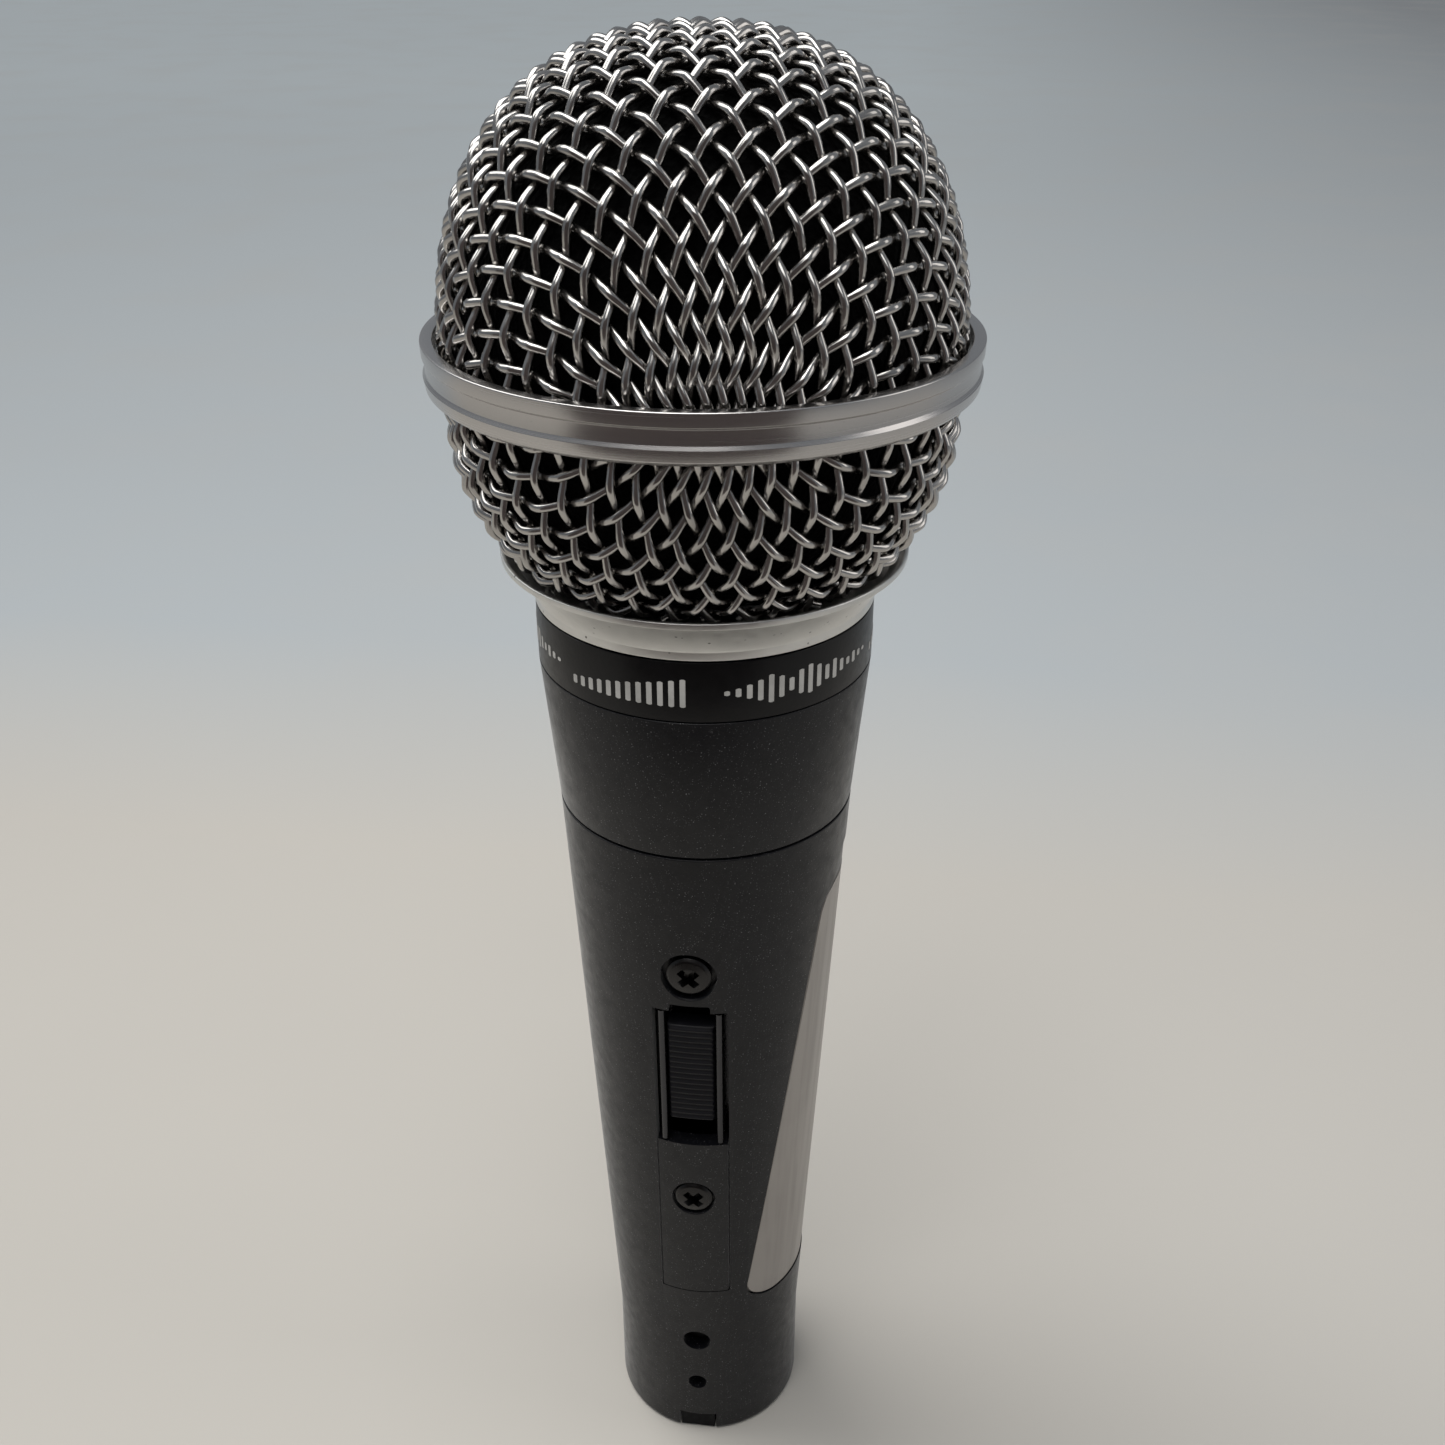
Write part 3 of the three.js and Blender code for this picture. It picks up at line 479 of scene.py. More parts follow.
def true_round(obj, radius_at, slope_at, tolerance=0.02, angle=30):
    """Exact normals where the mesh lies on the turned outside surface, and sharp edges elsewhere."""
    smooth(obj, angle)
    mesh = obj.data
    normals = [corner.vector.copy() for corner in mesh.corner_normals]
    for polygon in mesh.polygons:
        for i in polygon.loop_indices:
            v = mesh.vertices[mesh.loops[i].vertex_index].co / MM
            r = math.hypot(v.x, v.y)
            if abs(r - radius_at(v.z)) < tolerance:
                slope = slope_at(v.z)
                exact = Vector((v.x / r, v.y / r, -slope)).normalized()
                if exact.dot(polygon.normal) > 0.995:
                    normals[i] = exact
    mesh.normals_split_custom_set(normals)
    return obj


def tube_mesh(points, radius, sides, verts, faces):
    """Adds a round wire along the points to a list of verts and faces, with flat ends."""
    points = np.asarray(points, float)
    tangents = np.gradient(points, axis=0)
    tangents /= np.linalg.norm(tangents, axis=1)[:, None]
    side = np.cross(tangents[0], (0.3, 0.2, 0.9))
    side /= np.linalg.norm(side)
    base = len(verts)
    for point, tangent in zip(points, tangents):
        side = side - tangent * (side @ tangent)
        side /= np.linalg.norm(side)
        other = np.cross(tangent, side)
        for k in range(sides):
            a = 2 * math.pi * k / sides
            verts.append(tuple(point + radius * (math.cos(a) * side + math.sin(a) * other)))
    for s in range(len(points) - 1):
        for k in range(sides):
            j = (k + 1) % sides
            a, b = base + s * sides, base + (s + 1) * sides
            faces.append((a + k, a + j, b + j, b + k))
    faces.append(tuple(base + k for k in range(sides - 1, -1, -1)))
    last = base + (len(points) - 1) * sides
    faces.append(tuple(last + k for k in range(sides)))


# ---------------------------------------------------------------- woven grille

# Square cloth pulled over a dome: each node is one pitch from its two neighbours nearer the crown.


class Dome:
    """A superellipse dome about Z with a cylinder below it, with its middle at height 0."""

    def __init__(self, radius, height, power):
        self.radius, self.height, self.power = radius, height, power
        t = np.linspace(math.pi / 2, 0, 4000)
        r = radius * np.abs(np.cos(t)) ** (2 / power)
        z = height * np.sin(t) ** (2 / power)
        r[0] = 0
        self.r = np.append(r, [radius, radius])
        self.z = np.append(z, [-20, -40])
        step = np.hypot(np.diff(self.r), np.diff(self.z))
        self.length = np.concatenate([[0], np.cumsum(step)])

    def along(self, distance):
        """The radius and height at a distance down the surface from the crown."""
        return np.interp(distance, self.length, self.r), np.interp(distance, self.length, self.z)

    def off(self, p):
        """Zero on the surface."""
        r, s = math.hypot(p[0], p[1]), max(p[2], 0)
        return (r / self.radius) ** self.power + (s / self.height) ** self.power - 1

    def gradient(self, p):
        r, s, n = max(math.hypot(p[0], p[1]), 1e-9), max(p[2], 0), self.power
        out = n * r ** (n - 1) / self.radius**n
        return np.array([out * p[0] / r, out * p[1] / r, n * s ** (n - 1) / self.height**n])

    def normal(self, p):
        g = self.gradient(p)
        return g / np.linalg.norm(g)


def net_quadrant(dome, pitch, count):
    nodes = np.full((count + 1, count + 1, 3), np.nan)
    for i in range(count + 1):
        r, z = dome.along(i * pitch)
        nodes[i, 0] = (r, 0, z)
        nodes[0, i] = (0, r, z)
    stiffness = 50  # weighs the surface against the two lengths
    for i in range(1, count + 1):
        for j in range(1, count + 1):
            a, b, corner = nodes[i - 1, j], nodes[i, j - 1], nodes[i - 1, j - 1]
            if np.isnan(a).any() or np.isnan(b).any():
                continue
            x, solved = a + b - corner, False
            for _ in range(40):
                da, db = x - a, x - b
                error = np.array([da @ da - pitch**2, db @ db - pitch**2, dome.off(x) * stiffness])
                try:
                    move = np.linalg.solve(
                        np.array([2 * da, 2 * db, dome.gradient(x) * stiffness]), -error)
                except np.linalg.LinAlgError:
                    break
                size = np.linalg.norm(move)
                x = x + move * min(1, 0.8 / max(size, 1e-12))
                if size < 1e-9:
                    solved = True
                    break
            if solved and np.linalg.norm(x - corner) > 0.3 * pitch:
                nodes[i, j] = x
    return nodes


# Where a wire is sampled between two crossings, and how far it leans from one side to the other.
CRIMP = [(t, 0.75 * math.cos(math.pi * t) + 0.25 * (1 - 2 * t))
         for t in (0.0, 0.07, 0.15, 0.26, 0.42, 0.58, 0.74, 0.85, 0.93)]
LEAN = WIRE_RADIUS * 1.1


def woven(name, dome, pitch, place, keep, material, sides=8):
    """Crimped wires in both directions. place maps dome points to mm, keep is a range of heights."""
    count = int(46 / pitch) + 3
    nodes = net_quadrant(dome, pitch, count)
    span = range(-count, count + 1)

    def node(i, j):
        p = nodes[abs(i), abs(j)].copy()
        p[0] *= 1 if i >= 0 else -1
        p[1] *= 1 if j >= 0 else -1
        return p

    verts, faces = [], []
    for across in (False, True):
        for j in span:
            line = [(i, node(j, i) if across else node(i, j)) for i in span]
            line = [(i, p) for i, p in line if not np.isnan(p).any()]
            runs, run = [], []
            for i, p in line:
                if run and i != run[-1][0] + 1:
                    runs.append(run)
                    run = []
                run.append((i, p))
            runs.append(run)
            for run in runs:
                if len(run) < 3:
                    continue
                path = []
                for k in range(len(run) - 1):
                    before = run[max(k - 1, 0)][1]
                    p0, p1 = run[k][1], run[k + 1][1]
                    after = run[min(k + 2, len(run) - 1)][1]
                    side = (-1) ** (run[k][0] + j) * (-1 if across else 1)
                    for t, lean in CRIMP:
                        base = (p0 * (2 - 5 * t**2 + 3 * t**3) + p1 * (t + 4 * t**2 - 3 * t**3)
                                + before * (-t + 2 * t**2 - t**3) + after * (-(t**2) + t**3)) / 2
                        path.append(place(base + dome.normal(base) * lean * side * LEAN))
                path.append(place(run[-1][1]))
                for piece in clipped(path, *keep):
                    tube_mesh(piece, WIRE_RADIUS, sides, verts, faces)
    return smooth(face_out(new_object(name, verts, faces, material)), 50)


def clipped(path, low, high):
    """The stretches of a path between two heights, cut exactly at them."""
    stretches, current = [], []
    for a, b in zip(path, path[1:]):
        cuts = sorted(t for t in ((z - a[2]) / (b[2] - a[2]) for z in (low, high) if b[2] != a[2])
                      if 0 < t < 1)
        stops = [0, *cuts, 1]
        for t0, t1 in zip(stops, stops[1:]):
            middle = a[2] + (b[2] - a[2]) * (t0 + t1) / 2
            if low <= middle <= high:
                if not current:
                    current.append(a + (b - a) * t0)
                current.append(a + (b - a) * t1)
            elif current:
                stretches.append(current)
                current = []
    if current:
        stretches.append(current)
    shortest = 0.9
    return [s for s in stretches if np.linalg.norm(s[-1] - s[0]) > shortest]


turn = math.radians(45 + WEAVE_TURN)
TURN = np.array([[math.cos(turn), -math.sin(turn), 0], [math.sin(turn), math.cos(turn), 0], [0, 0, 1]])
MID = 0.86  # the weave's middle surface lies this far under its outside

upper_dome = Dome(DOME_RADIUS - MID, DOME_HEIGHT - MID, DOME_POWER)
upper = woven("upper_weave", upper_dome, DOME_PITCH,
              lambda p: TURN @ p + np.array([0, 0, DOME_EQUATOR]), (141.6, 175), WIRE)
dress(upper, "grille", "wire_nickel", "grille_upper_mesh")

lower_dome = Dome(BOWL_RADIUS - MID, BOWL_DEPTH - MID, BOWL_POWER)
lower = woven("lower_weave", lower_dome, BOWL_PITCH,
              lambda p: TURN @ (p * (1, 1, -1)) + np.array([0, 0, BOWL_CENTRE]), (121.75, 141.2), WIRE)
dress(lower, "grille", "wire_nickel", "grille_lower_mesh")

ring_profile = [
    (25.45, 139.55, 0.1), (26.0, 139.55, 0.12), (26.42, 139.95, 0.15), (26.6, 141.02, 0.07),
    (26.36, 141.38, 0.07), (26.36, 142.72, 0.06), (26.6, 142.98, 0.06), (26.65, 144.25, 0.14),
    (25.45, 144.25, 0.12),
]
ring = turned("ring_band", ring_profile, NICKEL, BODY_SIDES, 0.15, angle=60)
dress(ring, "grille", "satin_nickel", "grille_ring")


def flare(start, bend, end, steps):
    """Points of a quadratic curve in a profile."""
    points = []
    for k in range(steps + 1):
        t = k / steps
        points.append(tuple((1 - t) ** 2 * a + 2 * t * (1 - t) * b + t * t * c
                            for a, b, c in zip(start, bend, end)))
    return points


collar_profile = [
    (15.9, 117.4, 0.1), (17.5, 117.4, 0.16), (17.5, 118.3, 0.05),
    *[(r, z, 0) for r, z in flare((17.52, 118.36), (18.45, 120.15), (20.5, 122.0), 12)],
    (20.64, 122.12, 0.06), (20.66, 122.75, 0.16), (20.3, 122.75, 0.1), (19.95, 122.5, 0.12),
    (18.95, 121.35, 0.2), (15.9, 121.35, 0.1),
]
collar = turned("collar_cup", collar_profile, COLLAR_NICKEL, BODY_SIDES, 0.1, angle=55)
dress(collar, "grille", "satin_nickel", "grille_collar")


def dome_outline(inset, count):
    out = []
    for k in range(count + 1):
        a = math.pi / 2 * k / count
        r = (DOME_RADIUS - inset) * max(math.cos(a), 0) ** (2 / DOME_POWER) if k < count else 0
        out.append((r, DOME_EQUATOR + (DOME_HEIGHT - inset) * math.sin(a) ** (2 / DOME_POWER)))
    return out


def bowl_outline(inset, bottom, count):
    bend, depth = 2 / BOWL_POWER, BOWL_DEPTH - inset
    start = math.asin(((BOWL_CENTRE - bottom) / depth) ** (1 / bend))
    angles = [start * (1 - k / count) for k in range(count + 1)]
    return [((BOWL_RADIUS - inset) * math.cos(a) ** bend, BOWL_CENTRE - depth * math.sin(a) ** bend)
            for a in angles]


def pitted(r, z, a):
    """Foam cells: each point sinks a little, by a fixed noise."""
    p = Vector((r * math.cos(a), r * math.sin(a), z))
    return r - 0.12 * (1 + noise.noise(p * 2.1)) - 0.15 * max(0, noise.noise(p * 0.9))


FOAM_GAP, FOAM_THICKNESS, FOAM_BOTTOM = 1.75, 2.1, 124.6
outer = bowl_outline(FOAM_GAP, FOAM_BOTTOM, 26) + dome_outline(FOAM_GAP, 44)
inner = bowl_outline(FOAM_GAP + FOAM_THICKNESS, FOAM_BOTTOM, 8) + dome_outline(
    FOAM_GAP + FOAM_THICKNESS, 14)
windscreen = smooth(new_object(
    "foam_liner", *lathe(inner[::-1] + outer, 180, pitted), FOAM), 80)
dress(windscreen, "windscreen", "foam", "foam_windscreen")

# ---------------------------------------------------------------- body

SIDE_X = 1.0  # the label's tools start this far from the axis, so they stay on the +X side
LABEL_REACH = 20  # and end beyond the surface


def label_outline(margin, top):
    """The label's shield shape, as (y, z) points, grown by a margin."""
    bottom, half, top_half, corner = 24 - margin, 10.7 + margin, 6.6 + margin, 3.5
    middle = (bottom + top) / 2 + 4

    def curve(a, b, c, steps):
        return flare(a, b, c, steps)[:-1]

    right = (
        curve((half - corner, bottom), (half, bottom), (half - 0.1, bottom + corner), 8)
        + curve((half - 0.1, bottom + corner), (half - 0.9, middle), (top_half + 0.3, top - corner), 14)
        + curve((top_half + 0.3, top - corner), (top_half, top), (top_half - corner, top), 8)
        + [(top_half - corner, top)]
    )
    return right + [(-y, z) for y, z in right[::-1]]


def skin(outer_inset, inner_inset, bottom, top):
    """A thin shell under the handle's outside surface."""
    heights = [bottom, TAIL_HEIGHT, top] if bottom < TAIL_HEIGHT else [bottom, top]
    outside = [(handle_radius(z) - outer_inset, z) for z in heights]
    inside = [(handle_radius(z) - inner_inset, z) for z in heights]
    return new_object("skin", *lathe(outside + inside[::-1], BODY_SIDES))


BORE_TOP = HANDLE_TOP - SPIGOT_LENGTH - 0.5
handle_profile = [
    (9.8, 0, 0.15), (TAIL_RADIUS, 0, 0.7), (TAIL_RADIUS, TAIL_HEIGHT, 0.0),
    (HANDLE_TOP_RADIUS, HANDLE_TOP - SEAM, 0.14), (SPIGOT_RADIUS + 0.3, HANDLE_TOP - SEAM, 0.1),
    (SPIGOT_RADIUS + 0.3, BORE_TOP, 0.05), (handle_radius(BORE_TOP) - WALL, BORE_TOP - 1, 0.05),
    (handle_radius(24.2) - WALL, 24.2, 0.1), (9.0, 24.2, 0.1), (9.0, 22.2, 0.05), (9.8, 22.2, 0.05),
]
handle = new_object("handle_tube", *lathe(rounded(handle_profile, 0.1, 5), BODY_SIDES), CHARCOAL)


def label_recess(top, depth):
    outline = prism(label_outline(LABEL_GAP, top), SIDE_X, LABEL_REACH, "x")
    return combine(outline, "INTERSECT", skin(-2, depth, 1, HANDLE_TOP - 1))


combine(
    handle, "DIFFERENCE",
    label_recess(LABEL_TOP + LABEL_GAP, LABEL_DEPTH),
    label_recess(RELIEF_TOP, RELIEF_DEPTH),
    box_tool(-SLOT_HALF, SLOT_HALF, CUT_FRONT, CUT_BACK, SLOT_BOTTOM, SLOT_TOP, 0.35),
    box_tool(-SLOT_NOTCH_HALF, SLOT_NOTCH_HALF, CUT_FRONT, CUT_BACK,
             SLOT_TOP - 1, SLOT_NOTCH_TOP, 0.4),
    on_front(bore_tool(3.1, -2, 1.3, 0, mouth=0.15, mouth_y=0.06), TOP_SCREW),
    on_front(bore_tool(SHANK_HOLE, 0, 4, 0), TOP_SCREW),
    bore_tool(SET_SCREW_HOLE, -14, -9, SET_SCREW),
    bore_tool(LATCH_HOLE, -14, -9, LATCH),
    box_tool(-2.45, 2.45, -14, -8, -1, 3, 0.3),
)
true_round(handle, handle_radius, handle_slope)
dress(handle, "handle", "handle_paint", "handle")


def thread(r, z, a):
    """The helical thread that the collar runs on."""
    if not BAND_TOP + 0.3 < z < THREAD_TOP - 0.2 or r < THREAD_RADIUS - 0.5:
        return r
    phase = (z / THREAD_PITCH - a / (2 * math.pi)) % 1.0
    return r - THREAD_DEPTH * abs(2 * phase - 1)


NECK_BOTTOM = HANDLE_TOP + SEAM
thread_steps = 44
neck_profile = [
    (SPIGOT_RADIUS, NECK_BOTTOM - SPIGOT_LENGTH, 0.2), (SPIGOT_RADIUS, NECK_BOTTOM, 0.05),
    (HANDLE_TOP_RADIUS, NECK_BOTTOM, 0.14), (NECK_TOP_RADIUS, FLARE_TOP, 0.14),
    (SLEEVE_RADIUS, FLARE_TOP, 0.05), (SLEEVE_RADIUS, BAND_TOP, 0.05),
    *[(THREAD_RADIUS, BAND_TOP + 0.05 + (THREAD_TOP - BAND_TOP - 0.1) * k / thread_steps, 0)
      for k in range(thread_steps + 1)],
    (THREAD_RADIUS - 0.3, THREAD_TOP, 0.05), (NECK_BORE, THREAD_TOP, 0.1),
    (NECK_BORE, NECK_BOTTOM + 8, 0.1), (SPIGOT_BORE, NECK_BOTTOM + 7, 0.1),
    (SPIGOT_BORE, NECK_BOTTOM - SPIGOT_LENGTH, 0.1),
]
neck = turned("neck_sleeve", neck_profile, CHARCOAL, BODY_SIDES, 0.1, shift=thread, angle=32)
dress(neck, "handle", "handle_paint", "neck_section")

band_profile = [
    (SLEEVE_RADIUS + 0.3, FLARE_TOP + SEAM), (NECK_TOP_RADIUS, FLARE_TOP + SEAM),
    (NECK_TOP_RADIUS, BAND_TOP), (SLEEVE_RADIUS + 0.3, BAND_TOP),
]
band = turned("band_sleeve", band_profile, BAND_BLACK, BODY_SIDES, 0.12)
dress(band, "handle", "band_paint", "name_band")


def printed_bar(azimuth, bottom, top, verts, faces):
    """Adds a thin closed bar printed on the band, standing up at an azimuth in degrees."""
    centre, half = math.radians(azimuth - 90), BAR_WIDTH / PRINT_RADIUS / 2
    base = len(verts)
    for r in (PRINT_RADIUS, PRINT_RADIUS + PRINT_THICKNESS):
        for k in range(BAR_STEPS + 1):
            a = centre - half + 2 * half * k / BAR_STEPS
            trim = BAR_CORNER if k in (0, BAR_STEPS) else 0
            for z in (bottom + trim, top - trim):
                verts.append((r * math.cos(a), r * math.sin(a), z))
    row = 2 * (BAR_STEPS + 1)
    for k in range(BAR_STEPS):
        a = base + 2 * k
        faces.append((a, a + 1, a + 3, a + 2))
        b = a + row
        faces.append((b, b + 2, b + 3, b + 1))
        faces.append((a, a + 2, b + 2, b))
        faces.append((a + 1, b + 1, b + 3, a + 3))
    for a in (base, base + 2 * BAR_STEPS):
        ends = (a, a + row, a + row + 1, a + 1)
        faces.append(ends if a == base else ends[::-1])


# The printed band holds no name: two plain groups of bars, like a level meter and a sound wave.
METER_BARS, METER_START, METER_STEP = 12, -39.0, 3.6
WAVE_HEIGHTS = [0.5, 0.9, 1.5, 2.2, 3.0, 2.3, 1.4, 2.6, 3.1, 2.4, 1.6, 2.1, 1.3, 0.8, 1.2, 0.7, 0.4]
WAVE_START, WAVE_STEP = 14.5, 3.6
PRINT_MIDDLE, PRINT_THICKNESS, PRINT_RADIUS = 113.95, 0.03, NECK_TOP_RADIUS + 0.005
BAR_WIDTH, BAR_CORNER, BAR_STEPS, METER_FOOT = 0.55, 0.08, 3, PRINT_MIDDLE - 1.5
verts, faces = [], []
for repeat in (0, 120, 240):
    for k in range(METER_BARS):
        tall = 0.9 + 2.1 * k / (METER_BARS - 1)
        printed_bar(repeat + METER_START + METER_STEP * k, METER_FOOT, METER_FOOT + tall,
                    verts, faces)
    for k, tall in enumerate(WAVE_HEIGHTS):
        printed_bar(repeat + WAVE_START + WAVE_STEP * k, PRINT_MIDDLE - tall / 2,
                    PRINT_MIDDLE + tall / 2, verts, faces)
marks = smooth(face_out(new_object("band_marks", verts, faces, PRINT)))
dress(marks, "handle", "label")

label = combine(prism(label_outline(0, LABEL_TOP), SIDE_X, LABEL_REACH, "x"), "INTERSECT",
                skin(LABEL_SINK, LABEL_BACK, 1, HANDLE_TOP - 1))
named(label, "label_plate", LABEL)
true_round(label, lambda z: handle_radius(z) - LABEL_SINK, handle_slope)
dress(label, "handle", "label", "side_label")

# ---------------------------------------------------------------- switch

SWITCH_FRAME = Matrix.Translation(
    (0, -handle_radius(SWITCH_CENTRE) * MM, SWITCH_CENTRE * MM)) @ Matrix.Rotation(TILT, 4, "X")


def along(height):
    return (height - SWITCH_CENTRE) / math.cos(TILT)


plate = skin(0, WALL - 0.1, FILLER_BOTTOM, FILLER_TOP)
combine(plate, "INTERSECT", box_tool(-FILLER_HALF, FILLER_HALF, CUT_FRONT, CUT_BACK,
                                     FILLER_BOTTOM, FILLER_TOP, 0.3))
combine(
    plate, "DIFFERENCE",
    on_front(bore_tool(2.6, -2, 0.95, 0, mouth=0.12, mouth_y=0.05), PLATE_SCREW),
    on_front(bore_tool(SHANK_HOLE, 0, 4, 0), PLATE_SCREW),
)
true_round(named(plate, "slot_filler", CHARCOAL), handle_radius, handle_slope)
dress(plate, "handle", "handle_paint", "switch_plate")

# The slider: a cap with rounded ribs, crowned across, and a stem that reaches the contact.
SLIDER_HALF, SLIDER_FACE, SLIDER_DEPTH, RIBS, RIB_HEIGHT = 2.65, 0.5, 2.15, 18, 0.22
RIB_SAMPLES, ACROSS = 8, 20
SLIDER_LOW, SLIDER_HIGH, EDGE_ROUND, SLIDER_CROWN = along(56.4), along(70.6), 0.22, 0.10
verts, faces = [], []
rows = RIBS * RIB_SAMPLES + 1


def slider_height(k):
    return SLIDER_LOW + (SLIDER_HIGH - SLIDER_LOW) * k / (rows - 1)


def slider_side(c):
    return -SLIDER_HALF + 2 * SLIDER_HALF * c / ACROSS


for k in range(rows):
    z = slider_height(k)
    phase = (k % RIB_SAMPLES) / RIB_SAMPLES
    rib = max(0.0, math.sin(math.pi * min(1, phase * 1.35))) if k < rows - 1 else 0
    end = min(z - SLIDER_LOW, SLIDER_HIGH - z)
    dip = max(0, EDGE_ROUND - end)
    for c in range(ACROSS + 1):
        x = slider_side(c)
        side = max(0, abs(x) - (SLIDER_HALF - EDGE_ROUND))
        crown = SLIDER_CROWN * (x / SLIDER_HALF) ** 2
        fall = EDGE_ROUND - math.sqrt(max(EDGE_ROUND**2 - side**2 - dip**2, 0))
        y = SLIDER_FACE + RIB_HEIGHT - RIB_HEIGHT * rib * (1 - side / EDGE_ROUND) + crown + fall
        verts.append((x, y, z))
front = len(verts)
for k in range(rows):
    for c in range(ACROSS + 1):
        verts.append((slider_side(c), SLIDER_FACE + RIB_HEIGHT + SLIDER_DEPTH, slider_height(k)))
wide = ACROSS + 1
for k in range(rows - 1):
    for c in range(ACROSS):
        a = k * wide + c
        faces.append((a, a + 1, a + wide + 1, a + wide))
        faces.append((front + a, front + a + wide, front + a + wide + 1, front + a + 1))
    for c in (0, ACROSS):
        a = k * wide + c
        faces.append((a, a + wide, front + a + wide, front + a))
for k in (0, rows - 1):
    for c in range(ACROSS):
        a = k * wide + c
        faces.append((a, a + 1, front + a + 1, front + a))
slider = face_out(new_object("slider_cap", verts, faces))
stem = box_tool(-1, 1, SLIDER_FACE + SLIDER_DEPTH, 7.2, -1, 1)
combine(slider, "UNION", stem)
named(slider, "slider_cap", SLIDER_PLASTIC)
moved(smooth(slider, 50), SWITCH_FRAME)
dress(slider, "slider", "black_plastic", "switch_slider")

# The bracket with its two rails.
RAIL_END_GAP, RAIL_BACK, RAIL_FACE, RAIL_INNER, RAIL_OUTER = 0.3, 4.0, 0.35, 2.8, 3.6
BRACKET_FRONT, BRACKET_BACK = 3.9, 4.7
rail_low, rail_high = along(FILLER_TOP) + RAIL_END_GAP, along(SLOT_TOP) - RAIL_END_GAP


def rail(x0, x1):
    """A rail with a rounded front edge."""
    middle, half = (x0 + x1) / 2, (x1 - x0) / 2
    outline = [(x0, RAIL_BACK)]
    for k in range(9):
        a = math.pi * k / 8
        outline.append((middle - half * math.cos(a), RAIL_FACE + half - half * math.sin(a)))
    outline.append((x1, RAIL_BACK))
    return prism(outline, rail_low, rail_high, "z")


bracket = box_tool(-5.4, 5.4, BRACKET_FRONT, BRACKET_BACK, along(40.6), along(81.2), 0.5)
combine(bracket, "UNION", rail(RAIL_INNER, RAIL_OUTER), rail(-RAIL_OUTER, -RAIL_INNER))
combine(
    bracket, "DIFFERENCE",
    box_tool(-1.3, 1.3, BRACKET_FRONT - 1, BRACKET_BACK + 1, -4.5, 1.3, 0.2),
    bore_tool(SHANK_HOLE, BRACKET_FRONT - 1, BRACKET_BACK + 1, along(TOP_SCREW)),
    bore_tool(SHANK_HOLE, BRACKET_FRONT - 1, BRACKET_BACK + 1, along(PLATE_SCREW)),
)
named(bracket, "switch_bracket", RAIL_BLACK)
moved(smooth(bracket, 35), SWITCH_FRAME)
dress(bracket, "handle", "screw_black", "switch_frame")


CROSS_TURN = math.radians(45)


def cross_screw(name, head_radius, crown, height, node):
    """A pan-head screw with a tapered cross recess, set square to the taper."""
    base = crown + 0.85
    profile = [(0, -6), (0.9, -6, 0.1), (1.25, -5.4, 0.1), (1.25, -base, 0.05),
               (head_radius, -base, 0.12), (head_radius, -base + 0.28, 0.2),
               (head_radius * 0.86, -base + 0.6, 0.5), (head_radius * 0.5, -crown - 0.07, 0.9),
               (0, -crown)]
    outline = rounded(profile, 0.1, 5)
    screw = new_object(name, *lathe(outline, SMALL_SIDES), SCREW_BLACK)
    moved(screw, Matrix.Rotation(math.pi / 2, 4, "X"))
    for turn in (0, math.pi / 2):
        verts = []
        for y, long, wide in ((crown - 0.5, 1.62, 0.52), (crown + 1.1, 0.80, 0.34)):
            for sx, sz in ((-1, -1), (1, -1), (1, 1), (-1, 1)):
                verts.append((sx * long, y, sz * wide))
        faces = [(0, 1, 2, 3), (7, 6, 5, 4)]
        faces += [(i, (i + 1) % 4, (i + 1) % 4 + 4, i + 4) for i in range(4)]
        wing = face_out(new_object("tool", verts, faces))
        moved(wing, Matrix.Rotation(turn + CROSS_TURN, 4, "Y"))
        combine(screw, "DIFFERENCE", wing)
    smooth(screw, 30)
    moved(screw, SWITCH_FRAME @ Matrix.Translation((0, 0, along(height) * MM)))
    return dress(screw, "handle", "screw_black", node)


cross_screw("screw_above_switch", 2.5, -0.2, TOP_SCREW, "switch_screw")
cross_screw("screw_in_filler", 2.3, -0.2, PLATE_SCREW, "plate_screw")

# ---------------------------------------------------------------- tail

insert_profile = [(0, 15), (8.05, 15, 0.2), (8.05, 0.7, 0.15), (9.6, 0.7, 0.2), (9.6, 21.9, 0.2),
                  (0, 21.9)]
insert = new_object("plug_socket", *lathe(rounded(insert_profile), BODY_SIDES // 2), SOCKET_BLACK)
combine(face_out(insert), "UNION", box_tool(-2.2, 2.2, -11.4, -8.8, 0.3, 2.75, 0.2))
PIN_PLACES = [(-PIN_CIRCLE, 0), (PIN_CIRCLE, 0), (0, PIN_CIRCLE)]
for x, y in PIN_PLACES:
    combine(insert, "DIFFERENCE", upright_bore(1.4, 14, 23, x, y, 32))
combine(
    insert, "DIFFERENCE",
    bore_tool(SET_SCREW_HOLE, -12, -7.9, SET_SCREW),
    bore_tool(LATCH_HOLE, -12, CUT_BACK, LATCH),
)
dress(smooth(insert), "handle", "black_plastic", "connector_insert")

for k, (x, y) in enumerate(PIN_PLACES, 1):
    pin = turned(f"socket_pin_{k}", [(0, 2.2), (0.85, 2.3, 0.3), (1.2, 3.1, 0.3), (1.2, 24.8, 0.1),
                                     (0, 24.8)], BRASS, 32)
    dress(moved(pin, Matrix.Translation((x * MM, y * MM, 0))), "handle", "brass", f"connector_pin_{k}")

grub = bore_tool(1.5, -10.3, -8.2, SET_SCREW, 48)
combine(grub, "DIFFERENCE", box_tool(-2, 2, -11, -9.7, 17.15, 17.65))
named(grub, "socket_screw", SCREW_BLACK)
dress(smooth(grub), "handle", "screw_black", "connector_set_screw")

# ---------------------------------------------------------------- capsule and wiring

